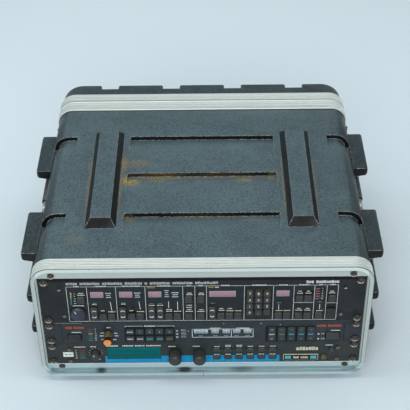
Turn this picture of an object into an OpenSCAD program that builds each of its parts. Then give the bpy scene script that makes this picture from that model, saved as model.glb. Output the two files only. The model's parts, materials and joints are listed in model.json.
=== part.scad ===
// Digital delay in a portable rack case
// A moulded four-unit case with a latched rear lid. A two-unit delay fills the top half of
// the rack, and two one-unit effects processors sit below it. The front lid is off.
// Shapes are drawn from the front plane of the panels, y towards the rear and z up from the
// bottom of the panel stack. place() then moves them to the middle of the footprint, on the floor.

/* [Rack] */
// Width of a front panel over its ears
panel_w = 482.6; // [480:0.2:486]
// Height of one rack unit
unit_h = 44.45; // [44:0.05:45]
// Thickness of the front panels
panel_t = 3; // [2.4:0.2:3.6]
// Gap between two neighbouring panels
panel_gap = 0.8; // [0.4:0.1:1.2]
// Distance between the left and right rows of rack screws
screw_span = 465.1; // [463:0.1:467]
// Height of the first screw above its panel's edge
screw_inset = 6.35; // [6:0.05:7]
// Diameter of the rack screws
screw_d = 5.8; // [5:0.1:6]
// Diameter of the rack screw heads
screw_head_d = 9.4; // [8.6:0.2:9.8]
// Diameter of the cup washers
washer_d = 12.2; // [11.8:0.1:12.4]
// Thickness of the steel rack rails
rail_t = 2; // [1.6:0.2:2.6]
// Width of a rail's front flange
rail_w = 23; // [21:0.5:24]
// Depth of a rail's side flange
rail_d = 32; // [24:1:40]

/* [Case shell] */
// Depth from the panels to the shell's rear edge
shell_d = 427; // [410:1:450]
// Wall of the moulded shell
shell_wall = 4; // [3:0.25:5]
// Distance from a panel's side edge to the outside of the shell
side_margin = 8.2; // [7.6:0.2:10]
// Distance from the panel stack to the outside of the shell's top
cover_margin = 22.3; // [21:0.1:26]
// Radius of the shell's long corners
corner_r = 27; // [24:0.5:30]

/* [Stacking ribs] */
// Distance from the middle to the centre of a rib
rib_x = 154; // [150:1:165]
// Width of a rib's flat top
rib_top_w = 31; // [26:1:36]
// Height of a rib
rib_h = 12; // [9:0.5:14]
// Length of a rib's flat top
rib_top_d = 225; // [200:0.5:240]
// Start of a rib's flat top behind the panels
rib_y = 100; // [96:1:120]
// Slope of a rib's sides, out for each unit up
rib_slope = 0.7; // [0.4:0.05:0.9]
// Slope of a rib's ends, out for each unit up
rib_end_slope = 1; // [0.6:0.05:1.2]

/* [Wedge recesses] */
// Width of the recesses between the ribs
wedge_w = 239; // [220:1:244]
// Depth of a recess at its steep wall
wedge_depth = 8; // [5:0.5:9]
// Length of a recess's ramp
wedge_run = 39; // [32:1:44]
// Place of the first steep wall behind the panels
wedge_y = 124; // [118:1:130]
// Distance between two steep walls
wedge_pitch = 101.5; // [96:0.5:104]
// Width of the notch on the flat beside a long corner
notch_w = 14; // [10:0.5:18]

/* [Bumpers] */
// Distance that the bumpers stand out from the shell's side
bumper_reach = 24.5; // [22:0.5:28]
// Distance that the middle bumpers stand out from the shell's side
mid_bumper_reach = 23; // [21:0.5:25]
// Height of a bumper
bumper_h = 18.5; // [17.5:0.5:20]
// Length of the upper and lower bumpers
bumper_d = 98; // [88:1:104]
// Length of the middle bumpers
mid_bumper_d = 82.5; // [76:0.5:88]
// Place of the front bumpers behind the panels
bumper_y = 61; // [58:1:66]
// Distance that the front middle bumpers stand in front of the upper ones
mid_bumper_lead = 10; // [6:0.5:12]
// Distance from a front bumper to the one behind it
bumper_pitch = 205; // [196:1:212]
// Radius of a bumper's outer corners, seen from above
bumper_r = 4; // [3:0.5:6]
// Radius of a bumper's upper outer edge
bumper_edge_r = 3.5; // [3:0.25:4.5]
// Radius of a bumper's lower outer edge
bumper_under_r = 6; // [5:0.5:6.5]
// Rise of a bumper's underside towards its outer edge
bumper_rise = 4; // [3:0.25:4.5]
// Distance from the shell's top to an upper bumper's top
bumper_drop = 25; // [24:0.5:30]

/* [Valances] */
// Thickness of the aluminium edge profiles
valance_t = 2; // [1.6:0.1:2.4]
// Length of the outer flange
valance_d = 24.5; // [20:0.5:28]
// Width of the lip
lip_w = 7; // [6:0.25:8]
// Distance that the front lip stands in front of the panels
lip_proud = 6; // [4:0.25:8]
// Number of fine flutes round a profile
flute_count = 4; // [0:1:5]
// Distance between two flutes
flute_pitch = 3.4; // [2:0.1:3.6]
// Width of a flute
flute_w = 0.7; // [0.4:0.1:1.2]
// Depth of a flute
flute_t = 0.35; // [0.2:0.05:0.6]
// Distance from a profile's edge to its first flute
flute_in = 5; // [3:0.5:6]
// Thickness of the rear edge profile behind the shell's edge
web_t = 2.4; // [2:0.1:3]
// Height of the tongue that centres the lid
tongue_h = 3; // [2:0.25:3.5]
// Diameter of the corner screw heads
corner_screw_d = 9.6; // [8:0.2:10.4]
// Distance from the middle to a corner screw
corner_screw_x = 221; // [216:0.5:226]
// Height of the corner screws above the panel stack
corner_screw_up = 6.5; // [5.5:0.1:8]

/* [Rear lid] */
// Depth of the closed lid behind the case
lid_d = 55.3; // [50:0.1:64]
// Gap between the case and the closed lid
lid_gap = 0.3; // [0.3:0.05:0.5]
// Radius of the lid's corners behind its edge profile
lid_corner_r = 38; // [32:0.5:42]
// Depth of the grooves between the lid's pads
pad_groove_d = 11; // [8:0.5:13]
// Width of the grooves between the lid's pads
pad_groove_w = 30; // [24:1:36]
// Distance between two grooves
pad_pitch = 109; // [104:0.5:114]
// Radius of the pads' edges at a groove
pad_r = 4; // [2:0.5:6]

/* [Latches] */
// Distance of a latch above or below the middle
latch_z = 19; // [18.5:0.25:22]
// Height of a keeper plate
keeper_h = 32; // [28:0.5:34]
// Thickness of keeper, latch and hook plates
latch_plate_t = 1.6; // [1.2:0.1:2]
// Length of a latch wing
wing_l = 34; // [30:1:36]
// Width of a latch wing
wing_w = 14; // [12:0.5:17]

/* [Handles] */
// Place of the handles behind the panels
handle_y = 260; // [254:1:266]
// Height of a handle plate's middle above the middle of the case
handle_up = 30; // [29:0.5:32]
// Height of a handle plate
handle_plate_h = 36; // [34:1:38]
// Length of a handle plate
handle_plate_l = 134; // [126:1:136]
// Distance of the handle's pivot from the shell's side
pivot_out = 13.5; // [12:0.25:15]
// Distance of the pivot below the middle of its plate
pivot_down = 10; // [8:0.5:11]
// Diameter of the bail's rod
bail_d = 8; // [7:0.25:9]
// Length of the bail over its arms' centres
bail_l = 116; // [108:1:120]
// Rise from the pivot to the bail's bar
bail_rise = 38; // [34:0.5:39]
// Diameter of the moulded grip
grip_d = 12; // [11:0.5:13]
// Length of the moulded grip
grip_l = 84; // [70:1:92]

/* [Units] */
// Width of the units' bodies behind the panels
body_w = 432; // [420:1:436]
// Sheet metal of the units' bodies
sheet_t = 1.2; // [1:0.1:1.5]
// Depth of the delay's body
delay_d = 300; // [270:1:320]
// Depth of the middle unit's body
middle_d = 232; // [200:1:280]
// Depth of the bottom unit's body
bottom_d = 278; // [230:1:300]
// Distance of the switch board behind the panels
switch_board_gap = 5.5; // [5.4:0.1:6.5]
// Thickness of the circuit boards
board_t = 1.6; // [1.4:0.1:2]

/* [Keys and switches] */
// Width and height of the delay's keys
key_w = 11.2; // [10.4:0.1:11.6]
// Distance between two keys
key_pitch = 12.8; // [12.6:0.05:13]
// Distance that keys stand in front of the panels
key_reach = 3; // [2.4:0.1:4]
// Gap round a key in its panel
key_clear = 0.35; // [0.3:0.05:0.5]
// Width and height of the keypad's keys
pad_key_w = 10; // [9:0.1:10.6]
// Height of the step rockers
rocker_h = 24.6; // [22:0.2:26]
// Width of the step rockers
rocker_w = 10; // [9:0.1:11]
// Gap above and below a rocker in its panel
rocker_clear = 0.9; // [0.9:0.05:1.1]
// Width of the power rockers
power_w = 13; // [12:0.2:14]
// Height of the power rockers
power_h = 18.6; // [17:0.2:20]
// Width of the oval keys
oval_w = 12.5; // [11:0.1:14]
// Height of the oval keys
oval_h = 6.4; // [5.6:0.1:7.4]
// Height of the parameter keys
parameter_h = 27; // [24:0.5:30]

/* [Knobs] */
// Diameter of the delay's level knob
level_d = 25; // [21:0.5:26]
// Distance that the level knob stands in front of the panel
level_reach = 5.5; // [4.5:0.5:9]
// Diameter of the outer knob of the dual control
outer_d = 13; // [12:0.5:15]
// Distance that the outer knob stands in front of the panel
outer_reach = 11; // [9:0.5:13]
// Diameter of the inner knob of the dual control
inner_d = 11; // [10:0.5:12]
// Distance that the inner knob stands in front of the panel
inner_reach = 21; // [18:0.5:24]
// Diameter of the ribbed value wheels
wheel_d = 20; // [17:0.5:22]
// Distance that the value wheels stand in front of the panel
wheel_reach = 20; // [17:0.5:23]
// Number of ribs round a value wheel
wheel_ribs = 18; // [12:1:24]
// Diameter of the bottom unit's level knob
trim_d = 15; // [12:0.5:17]
// Distance that the bottom unit's level knob stands in front of the panel
trim_reach = 11; // [9:0.5:14]
// Diameter of the control shafts
shaft_d = 6; // [5:0.25:6.5]
// Running gap round a shaft
shaft_clear = 0.3; // [0.3:0.05:0.4]
// Diameter of the round push buttons
button_d = 9; // [8:0.25:10]

/* [Hidden] */
$fn = 48;

// How far a cutting shape runs past what it cuts
over = 1;
// Gap between fixed pieces that fit round each other
fit = 0.15;

// The rack and the shell round it
stack_h = 4 * unit_h;
shell_w = panel_w + 2 * side_margin;
shell_h = stack_h + 2 * cover_margin;
half_w = shell_w / 2;
middle_z = stack_h / 2;
top_z = stack_h + cover_margin;
corner_x = half_w - corner_r;
corner_z = top_z - corner_r;
joint_y = shell_d + web_t;
lid_y = joint_y + lid_gap;
lid_end_y = lid_y + lid_d;
front_reach = max(wheel_reach, inner_reach);
mid_y = (lid_end_y - front_reach) / 2;
base_z = cover_margin + rib_h;
bumper_top_z = top_z - bumper_drop;
mid_bumper_z = middle_z + bumper_h / 2;
low_bumper_z = 2 * middle_z - bumper_top_z + bumper_h;
rail_gap = 0.3;
rail_end = 3;

// Heights of the three units' slots
delay_z = 2 * unit_h;
middle_unit_z = unit_h;
bottom_z = 0;
screw_z = [
  for (slot = [[bottom_z, 1], [middle_unit_z, 1], [delay_z, 2]])
    each [slot[0] + screw_inset, slot[0] + slot[1] * unit_h - screw_inset]
];
washer_h = 2.2;
head_h = 2.4;
slot_l = 10;
slot_clear = 0.4;
corner_screw_z = stack_h + corner_screw_up;
corner_shank_d = 4;
body_gap = 1.6;
delay_body_h = 2 * unit_h - 2 * body_gap;
slim_body_h = unit_h - 2 * body_gap;

// Boards inside the units, and the room that they leave
standoff = 6;
post_d = 7;
post_inset = 8;
chip_w = 8;
chip_l = 20;
chip_h = 4;
chip_margin = 15;
chip_pitch = 17;
board_clear = 0.5;
wall_start = switch_board_gap + board_t + board_clear;
transformer_room = 91;
main_board_w = body_w - 2 * transformer_room;
main_board_y = 30;
slim_board_inset = 36;
slim_board_w = body_w - 2 * slim_board_inset;
slim_board_y = 40;
board_back = 20;
chip_row_pitch = 50;
core_w = 54;
core_l = 46;
core_h = 46;
coil_w = 34;
coil_l = 66;
coil_h = 32;
foot_l = 16;
foot_reach = 10;
foot_t = 2;
transformer_side = 42;
transformer_back = 60;

// Sections of the delay's panel, by their left edges, and the places of the controls in them
section_x = [-201.3, -170.5, -127.7, -84.5, -28.8, -11, 6.2, 62.2, 105, 135.5, 165.7, 183.8];
first_slot = 8.2;
low_z = delay_z + 12.3;
high_z = delay_z + 47.3;
rocker_z = delay_z + 19.3;
window_z = delay_z + 56.7;
pad_z = delay_z + 58.5;
power_z = delay_z + 17.4;
level_x = section_x[0] + 14.6;
level_z = delay_z + 19;
function slot_x(section, i) = section_x[section] + first_slot + i * key_pitch;
step_key_at = [
  [slot_x(1, 1), low_z], [slot_x(1, 2), low_z], [slot_x(2, 1), low_z],
  [slot_x(2, 2), low_z], [slot_x(3, 2), low_z], [slot_x(3, 3), low_z]
];
mode_key_at = [
  [slot_x(0, 1), high_z], [slot_x(4, 0), low_z], [slot_x(4, 0), high_z],
  [slot_x(5, 0), low_z], [slot_x(5, 0), high_z]
];
memory_key_at = [for (i = [1:3]) [slot_x(6, i), low_z]];
store_key_at = [
  for (i = [0:1])
    each [[slot_x(8, i), low_z], [slot_x(9, i), low_z], [slot_x(9, i), high_z]]
];
bypass_key_at = [[slot_x(10, 0), low_z], [slot_x(11, 0), high_z]];
pad_key_at = [for (row = [0:3]) for (i = [0:2]) [slot_x(7, i), pad_z - row * key_pitch]];
rocker_x = [slot_x(1, 0), slot_x(2, 0), slot_x(3, 0), slot_x(3, 1), slot_x(6, 0)];
power_x = slot_x(11, 0);
window_h = 13;
small_window_w = 20;
wide_window_w = 40;
small_window_in = 14.2;
wide_window_in = 23.7;
delay_window_at = [
  [section_x[1] + small_window_in, small_window_w], [section_x[2] + small_window_in, small_window_w],
  [section_x[3] + small_window_in, small_window_w], [section_x[6] + wide_window_in, wide_window_w],
  [section_x[8] + small_window_in, small_window_w]
];
switch_board_margin = 9.5;
switch_board_w = 2 * (switch_board_margin - section_x[0]);

// Places of the middle unit's controls
input_x = -196;
input_z = middle_unit_z + 12.2;
input_w = 19;
input_h = 13;
dual_x = -144.3;
sleeve_t = 2;
dual_z = middle_unit_z + 20.8;
programme_x = -111;
programme_pitch = 15;
programme_z = middle_unit_z + 10.5;
programme_at = [
  for (row = [0:1]) for (i = [0:4])
    [programme_x + programme_pitch * i, programme_z + programme_pitch * row]
];
programme_w = 12;
programme_h = 9.6;
parameter_x = 105;
parameter_pitch = 14.9;
parameter_z = middle_unit_z + 18.2;
parameter_at = [for (i = [0:4]) [parameter_x + parameter_pitch * i, parameter_z]];
parameter_w = 11.4;
middle_power_x = 198;
middle_power_z = middle_unit_z + 12.6;
middle_power_w = 20;
middle_power_h = 13;
middle_window_at = [[-3, 21.7], [18.6, 11.4], [35.7, 11.4], [51.5, 11.4], [68.2, 12]];
middle_window_z = middle_unit_z + 22.2;
middle_window_h = 9;

// Places of the bottom unit's controls
trim_x = -166.1;
trim_z = 22.5;
wheel_x = [-43.3, -5.8];
wheel_z = 21;
display_x = -107;
display_z = 21.5;
display_w = 82;
display_h = 24;
oval_x = 21;
oval_z = 11.4;
oval_pitch = 17.3;
oval_at = [for (row = [0:1]) for (i = [0:5]) [oval_x + oval_pitch * i, oval_z + oval_pitch * row]];
card_x = 151.2;
card_z = 10.5;
card_bezel_w = 54;
card_bezel_h = 13;
card_slot_w = 46;
card_slot_h = 3.3;
card_bezel_t = 1.4;
eject_x = 187;
eject_z = 11;
power_button_x = 199;
power_button_z = 27;

// Travel and retaining lips of the keys, behind the panel
key_lip = 1.2;
key_lip_t = 1.2;
key_lip_gap = 0.3;
key_corner = 1.2;
rocker_pivot_y = panel_t - 1;
rocker_pin_d = 1.6;
rocker_pin_seat = 0.5;
rocker_back = 4;
rocker_dish = 0.9;
shaft_end_y = panel_t + switch_board_gap - 0.6;

// The handle's pivot line, seen on the right-hand side
pivot_x = half_w + pivot_out;
plate_z = middle_z + handle_up;
pivot_z = plate_z - pivot_down;
bail_half = bail_l / 2;
bend_r = 7;
knuckle_d = bail_d + 5;
knuckle_w = 6;
handle_plate_t = 2;
grip_gap = 0.5;
bail_lean = asin((pivot_out - grip_d / 2 - grip_gap) / bail_rise);
pin_clear = 0.3;

// The latch on a side of the lid
latch_margin = 1.4;
latch_plate_l = lid_d - valance_d - 2 * latch_margin;
latch_y = lid_end_y - latch_margin - latch_plate_l / 2;
boss_d = 12;
boss_h = 3;
hook_w = 18;
hook_l = 68;
hook_lift = valance_t + 1.1;
wing_pin_d = 5;
wing_t = 2.4;
wing_gap = 0.4;
fin_h = 5;
fin_t = 2.4;
keeper_l = 26;
keeper_gap = 2.5;
keeper_lip_h = hook_lift - latch_plate_t - 0.5;
keeper_lip_t = 1.5;

// Moves a shape from the panels' frame to the middle of the footprint, on the floor
module place() { translate([0, -mid_y, base_z]) children(); }
// Extrudes an outline drawn in x and z from y0 to y1
module along_y(y0, y1) {
  translate([0, y1, 0]) rotate([90, 0, 0]) linear_extrude(height = y1 - y0) children();
}
// Extrudes an outline drawn in y and z from x0 to x1
module along_x(x0, x1) {
  translate([x0, 0, 0]) rotate([90, 0, 90]) linear_extrude(height = x1 - x0) children();
}
// Draws a shape on the right and its mirror image on the left
module both_sides() { for (side = [0, 1]) mirror([side, 0, 0]) children(); }
// Draws a shape on the upper half and its mirror image on the lower half
module top_and_bottom() {
  children();
  translate([0, 0, stack_h]) mirror([0, 0, 1]) children();
}
module rounded(w, h, r) {
  square([w - 2 * r, h], center = true);
  square([w, h - 2 * r], center = true);
  for (x = [-1, 1], y = [-1, 1])
    translate([x * (w / 2 - r), y * (h / 2 - r)]) circle(r = r);
}
// The shell's cross-section, drawn in by an inset
module shell_outline(inset) {
  translate([0, middle_z]) rounded(shell_w - 2 * inset, shell_h - 2 * inset, corner_r - inset);
}
// A rounded block at a place on the panels
module slab(at, w, h, y0, y1, r = key_corner) {
  along_y(y0, y1) translate(at) rounded(w, h, r);
}
// A round peg at a place on the panels
module peg(at, d, y0, y1) {
  translate([at[0], y1, at[1]]) rotate([90, 0, 0]) cylinder(d = d, h = y1 - y0);
}
// A round shape turned about a line along y, with its profile drawn as radius and forward reach
module turned(at) {
  translate([at[0], 0, at[1]]) rotate([90, 0, 0]) rotate_extrude() children();
}

// The moulded case
module rib_solid(inset) {
  low = top_z - (inset > 0 ? shell_wall + over : shell_wall / 2);
  high = top_z + rib_h - inset;
  rise = top_z + rib_h - low;
  x0 = rib_x - rib_top_w / 2 + inset;
  x1 = rib_x + rib_top_w / 2 - inset;
  y0 = rib_y + inset;
  y1 = rib_y + rib_top_d - inset;
  side_low = rib_slope * rise;
  side_high = rib_slope * inset;
  end_low = rib_end_slope * rise;
  end_high = rib_end_slope * inset;
  intersection() {
    along_y(y0 - end_low, y1 + end_low)
      polygon([[x0 - side_low, low], [x1 + side_low, low], [x1 + side_high, high], [x0 - side_high, high]]);
    along_x(x0 - side_low, x1 + side_low)
      polygon([[y0 - end_low, low], [y1 + end_low, low], [y1 + end_high, high], [y0 - end_high, high]]);
  }
}
module wedge_profile(y) {
  polygon([
    [y, top_z - wedge_depth], [y, top_z + over],
    [y - wedge_run * (wedge_depth + over) / wedge_depth, top_z + over]
  ]);
}
module corner_sweep() {
  translate([corner_x, 0, corner_z]) rotate([90, 0, 0]) rotate_extrude(angle = 90) children();
}
module wedge_cuts() {
  for (i = [0:2])
    along_x(-wedge_w / 2, wedge_w / 2) wedge_profile(wedge_y + i * wedge_pitch);
  both_sides() for (i = [0, 2]) {
    y = wedge_y + i * wedge_pitch;
    along_x(corner_x - notch_w, corner_x) wedge_profile(y);
    corner_sweep()
      polygon([
        [corner_r + over, -y], [corner_r - wedge_depth, -y],
        [corner_r + over, wedge_run * (wedge_depth + over) / wedge_depth - y]
      ]);
  }
}
module wedge_backs() {
  back = wedge_depth + shell_wall;
  for (i = [0:2])
    translate([-wedge_w / 2 - shell_wall, wedge_y + i * wedge_pitch - wedge_run, top_z - back])
      cube([wedge_w + 2 * shell_wall, wedge_run + shell_wall, back - shell_wall / 2]);
  both_sides() for (i = [0, 2]) {
    y = wedge_y + i * wedge_pitch;
    translate([corner_x - notch_w - shell_wall, y - wedge_run, top_z - back])
      cube([notch_w + shell_wall, wedge_run + shell_wall, back - shell_wall / 2]);
    corner_sweep()
      translate([corner_r - back, -y - shell_wall])
        square([back - shell_wall / 2, wedge_run + shell_wall]);
  }
}
// Outline of a bumper in x and z with a flat top at a height, inset for its hollow
module bumper_outline(high, reach, inset) {
  root = half_w - shell_wall / 2 - (inset > 0 ? shell_wall : 0);
  outer = half_w + reach - inset;
  top = high - inset;
  low = high - bumper_h + inset;
  rise = low + bumper_rise;
  upper_r = max(bumper_edge_r - inset, 0.6);
  under_r = max(bumper_under_r - inset, 0.6);
  polygon([
    [root, low], [root, top], [outer - upper_r, top],
    [outer, top - upper_r], [outer, rise + under_r], [outer - under_r, rise]
  ]);
  translate([outer - upper_r, top - upper_r]) circle(r = upper_r);
  translate([outer - under_r, rise + under_r]) circle(r = under_r);
}
// A bumper from y0 to y1 with a flat top at a height, rounded where it shows from above
module bumper_block(y0, y1, high, reach, inset) {
  inner = half_w - 3 * shell_wall;
  outer = half_w + reach - inset;
  intersection() {
    along_y(y0 + inset, y1 - inset) bumper_outline(high, reach, inset);
    translate([(inner + outer) / 2, (y0 + y1) / 2, -cover_margin])
      linear_extrude(height = shell_h)
        rounded(outer - inner, y1 - y0 - 2 * inset, max(bumper_r - inset, 0.6));
  }
}
module bumpers(inset) {
  both_sides() for (i = [0, 1]) {
    y = bumper_y + i * bumper_pitch;
    mid_y0 = i == 0 ? y - mid_bumper_lead : y + bumper_d - mid_bumper_d;
    for (high = [bumper_top_z, low_bumper_z]) bumper_block(y, y + bumper_d, high, bumper_reach, inset);
    bumper_block(mid_y0, mid_y0 + mid_bumper_d, mid_bumper_z, mid_bumper_reach, inset);
  }
}
module case_shell() {
  place() color("#343a3e") difference() {
    union() {
      difference() {
        union() {
          along_y(panel_t, shell_d) shell_outline(0);
          top_and_bottom() both_sides() rib_solid(0);
          bumpers(0);
        }
        along_y(panel_t - over, shell_d + over) shell_outline(shell_wall);
        top_and_bottom() both_sides() rib_solid(shell_wall);
        bumpers(shell_wall);
      }
      top_and_bottom() wedge_backs();
    }
    top_and_bottom() wedge_cuts();
  }
}

// Aluminium edge profiles
module ring(outer_inset, inner_inset, y0, y1) {
  difference() {
    along_y(y0, y1) shell_outline(outer_inset);
    along_y(y0 - over, y1 + over) shell_outline(inner_inset);
  }
}
module flutes(y0) {
  for (i = [0:flute_count - 1])
    ring(-valance_t - over, flute_t - valance_t, y0 + i * flute_pitch, y0 + i * flute_pitch + flute_w);
}
module front_valance() {
  groove_y = 1;
  groove_w = 0.9;
  groove_t = 0.7;
  ledge_gap = 1;
  screw_clear = 0.3;
  place() color("#c9d3cf") difference() {
    union() {
      ring(-valance_t, -fit, -lip_proud, valance_d - lip_proud);
      ring(-valance_t, lip_w - valance_t, -lip_proud, panel_t);
      along_y(0, panel_t) shell_outline(-fit);
    }
    along_y(-over, panel_t + over)
      translate([0, middle_z])
        rounded(panel_w + 2 * ledge_gap, stack_h + 2 * ledge_gap, key_corner);
    ring(-valance_t - over, groove_t - valance_t, groove_y, groove_y + groove_w);
    flutes(flute_in);
    both_sides() top_and_bottom()
      peg([corner_screw_x, corner_screw_z], corner_shank_d + 2 * screw_clear, -over, panel_t + over);
  }
}
module corner_screws() {
  head = corner_screw_d * 0.35;
  place() color("#b4bcb9") both_sides() top_and_bottom() difference() {
    union() {
      turned([corner_screw_x, corner_screw_z])
        intersection() {
          square([corner_screw_d / 2, head]);
          translate([0, -corner_screw_d * 0.7]) circle(d = corner_screw_d * 2.1);
        }
      peg([corner_screw_x, corner_screw_z], corner_shank_d, 0, panel_t);
    }
    cross_recess([corner_screw_x, corner_screw_z], corner_screw_d * 0.5, -head);
  }
}
module rear_valance() {
  tongue_in = 1.5;
  tongue_w = 2;
  place() color("#c3cec9") difference() {
    union() {
      ring(-valance_t, -fit, joint_y - valance_d, joint_y);
      ring(-valance_t, lip_w - valance_t, shell_d, joint_y);
      ring(tongue_in, tongue_in + tongue_w, shell_d, joint_y + tongue_h);
    }
    flutes(joint_y - valance_d + flute_in);
  }
}
module lid_valance() {
  groove_in = 1.1;
  groove_w = 2.8;
  web = tongue_h + 2;
  place() color("#c3cec9") difference() {
    union() {
      ring(-valance_t, -fit, lid_y, lid_y + valance_d);
      ring(-valance_t, lip_w - valance_t, lid_y, lid_y + web);
    }
    ring(groove_in, groove_in + groove_w, lid_y - over, lid_y + tongue_h + lid_gap);
    flutes(lid_y + flute_in);
  }
}
// A groove across the pads, drawn in x and y from the lid's rear face
module pad_groove() {
  translate([-pad_groove_w / 2, -pad_groove_d]) square([pad_groove_w, pad_groove_d + over]);
  difference() {
    translate([-pad_groove_w / 2 - pad_r, -pad_r]) square([pad_groove_w + 2 * pad_r, pad_r + over]);
    for (end = [-1, 1]) translate([end * (pad_groove_w / 2 + pad_r), -pad_r]) circle(r = pad_r);
  }
}
// The lid's cross-section behind its edge profile, drawn in by an inset
module lid_outline(inset) {
  translate([0, middle_z]) rounded(shell_w - 2 * inset, shell_h - 2 * inset, lid_corner_r - inset);
}
module rear_lid() {
  start = lid_y + tongue_h + 2;
  edge_y = lid_y + valance_d;
  floor_y = lid_end_y - pad_groove_d - shell_wall;
  place() color("#2f3538") difference() {
    union() {
      along_y(start, edge_y) shell_outline(0);
      along_y(edge_y - over, lid_end_y) lid_outline(0);
    }
    along_y(start - over, floor_y) lid_outline(shell_wall);
    for (i = [-1.5:1:1.5])
      translate([i * pad_pitch, lid_end_y, -cover_margin - over])
        linear_extrude(height = shell_h + 2 * over) pad_groove();
  }
}

// Rails, screws and washers of the rack
module at_rack_screws() {
  for (x = [-screw_span / 2, screw_span / 2], z = screw_z) translate([x, 0, z]) children();
}
module rack_rails() {
  outer = half_w - shell_wall - rail_gap;
  place() color("#8d9296") difference() {
    both_sides() union() {
      translate([outer - rail_w, panel_t, rail_end]) cube([rail_w, rail_t, stack_h - 2 * rail_end]);
      translate([outer - rail_t, panel_t, rail_end]) cube([rail_t, rail_d, stack_h - 2 * rail_end]);
    }
    at_rack_screws() peg([0, 0], screw_d + 2 * shaft_clear, panel_t - over, panel_t + rail_t + over);
  }
}
module cross_recess(at, size, y) {
  for (turn = [0, 90])
    translate([at[0], y, at[1]]) rotate([0, turn, 0])
      cube([size, 2.4, size * 0.24], center = true);
}
module rack_screws() {
  seat = -washer_h + 0.6;
  shank = 9;
  place() color("#2b2d2f") at_rack_screws() difference() {
    union() {
      turned([0, 0])
        intersection() {
          translate([0, -seat]) square([screw_head_d / 2, head_h]);
          translate([0, head_h - seat - screw_head_d]) circle(r = screw_head_d);
        }
      peg([0, 0], screw_d, seat, panel_t + rail_t + shank);
    }
    cross_recess([0, 0], screw_head_d * 0.52, seat - head_h);
  }
}
module cup_washers() {
  cup = screw_head_d / 2;
  bore = screw_d / 2 + shaft_clear;
  place() color("#b9bdbb") at_rack_screws() turned([0, 0])
    polygon([
      [bore, 0], [washer_d / 2, 0], [washer_d / 2, 0.5], [cup + 1, washer_h], [cup + 0.2, washer_h],
      [cup + 0.2, washer_h - 0.6], [bore, washer_h - 0.6]
    ]);
}

// Handles on the sides
module on_side(side) { mirror([side < 0 ? 1 : 0, 0, 0]) children(); }
module handle_plates() {
  reach = bail_half - bend_r - 0.5;
  edge_r = 6;
  place() color("#aeb4b3") both_sides() difference() {
    union() {
      along_x(half_w, half_w + handle_plate_t)
        translate([handle_y, plate_z]) rounded(handle_plate_l, handle_plate_h, edge_r);
      for (end = [-1, 1])
        translate([0, handle_y + end * (reach - knuckle_w / 2), pivot_z]) {
          translate([pivot_x, knuckle_w / 2, 0]) rotate([90, 0, 0]) cylinder(d = knuckle_d, h = knuckle_w);
          translate([half_w + handle_plate_t / 2, -knuckle_w / 2, -knuckle_d / 4])
            cube([pivot_out - handle_plate_t / 2, knuckle_w, knuckle_d * 0.75]);
        }
    }
    translate([pivot_x, handle_y + bail_half, pivot_z])
      rotate([90, 0, 0]) cylinder(d = bail_d + 2 * pin_clear, h = bail_l);
  }
}
module bend() { rotate([90, 0, 90]) rotate_extrude(angle = 90) translate([bend_r, 0]) circle(d = bail_d); }
module rod(length) { rotate([-90, 0, 0]) cylinder(d = bail_d, h = length); }
module raised(side) {
  place() on_side(side) translate([pivot_x, handle_y, pivot_z]) rotate([0, -bail_lean, 0]) children();
}
module bail(side) {
  straight = bail_half - bend_r;
  pin = knuckle_w + 1;
  color("#b7bcbb") raised(side) {
    for (end = [0, 1]) mirror([0, end, 0]) {
      translate([0, straight - pin, 0]) rod(pin);
      translate([0, straight, bend_r]) mirror([0, 0, 1]) bend();
      translate([0, bail_half, bend_r]) cylinder(d = bail_d, h = bail_rise - 2 * bend_r);
      translate([0, straight, bail_rise - bend_r]) bend();
    }
    translate([0, -straight, bail_rise]) rod(2 * straight);
  }
}
module grip(side) {
  round_off = 1.5;
  color("#1d1f20") raised(side)
    translate([0, -grip_l / 2, bail_rise]) rotate([-90, 0, 0]) rotate_extrude()
      polygon([
        [bail_d / 2 + fit, 0], [grip_d / 2 - round_off, 0], [grip_d / 2, round_off],
        [grip_d / 2, grip_l - round_off], [grip_d / 2 - round_off, grip_l], [bail_d / 2 + fit, grip_l]
      ]);
}

// Latches of the lids
module at_latches() {
  both_sides() for (z = [-latch_z, latch_z]) translate([0, 0, middle_z + z]) children();
}
module keeper(y) {
  along_x(half_w, half_w + latch_plate_t)
    translate([y + keeper_l / 2, 0]) rounded(keeper_l, keeper_h, 3);
  translate([half_w, y + keeper_l / 2, -hook_w / 2])
    cube([latch_plate_t + keeper_lip_h, keeper_lip_t, hook_w]);
}
module latch_keepers() {
  front_y = valance_d - lip_proud + keeper_gap;
  rear_y = joint_y - valance_d - keeper_gap - keeper_l;
  place() color("#b5bab8") at_latches() {
    keeper(front_y);
    keeper(rear_y);
  }
}
module latch_plates() {
  place() color("#b5bab8") at_latches() difference() {
    union() {
      along_x(half_w, half_w + latch_plate_t)
        translate([latch_y, 0]) rounded(latch_plate_l, keeper_h, 3);
      translate([half_w, latch_y, 0]) rotate([0, 90, 0])
        cylinder(d = boss_d, h = hook_lift + latch_plate_t + boss_h);
      along_x(half_w + hook_lift, half_w + hook_lift + latch_plate_t)
        translate([latch_y - hook_l / 2, 0]) rounded(hook_l + boss_d, hook_w, 3);
    }
    translate([half_w + over, latch_y, 0]) rotate([0, 90, 0])
      cylinder(d = wing_pin_d + 2 * pin_clear, h = hook_lift + latch_plate_t + boss_h);
  }
}
module latch_wing(side, level) {
  x = half_w + hook_lift + latch_plate_t + boss_h + wing_gap;
  pin_l = boss_h + latch_plate_t + wing_gap;
  place() color("#c2c6c4") on_side(side) translate([0, latch_y, middle_z + level * latch_z]) {
    along_x(x, x + wing_t) rounded(wing_w, wing_l, wing_w / 2 - 0.5);
    along_x(x, x + wing_t) circle(d = wing_w + 4);
    translate([x - pin_l, 0, 0]) rotate([0, 90, 0]) cylinder(d = wing_pin_d, h = pin_l + 0.5);
    along_x(x, x + wing_t + fin_h) square([fin_t, wing_l - wing_w], center = true);
  }
}

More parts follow.
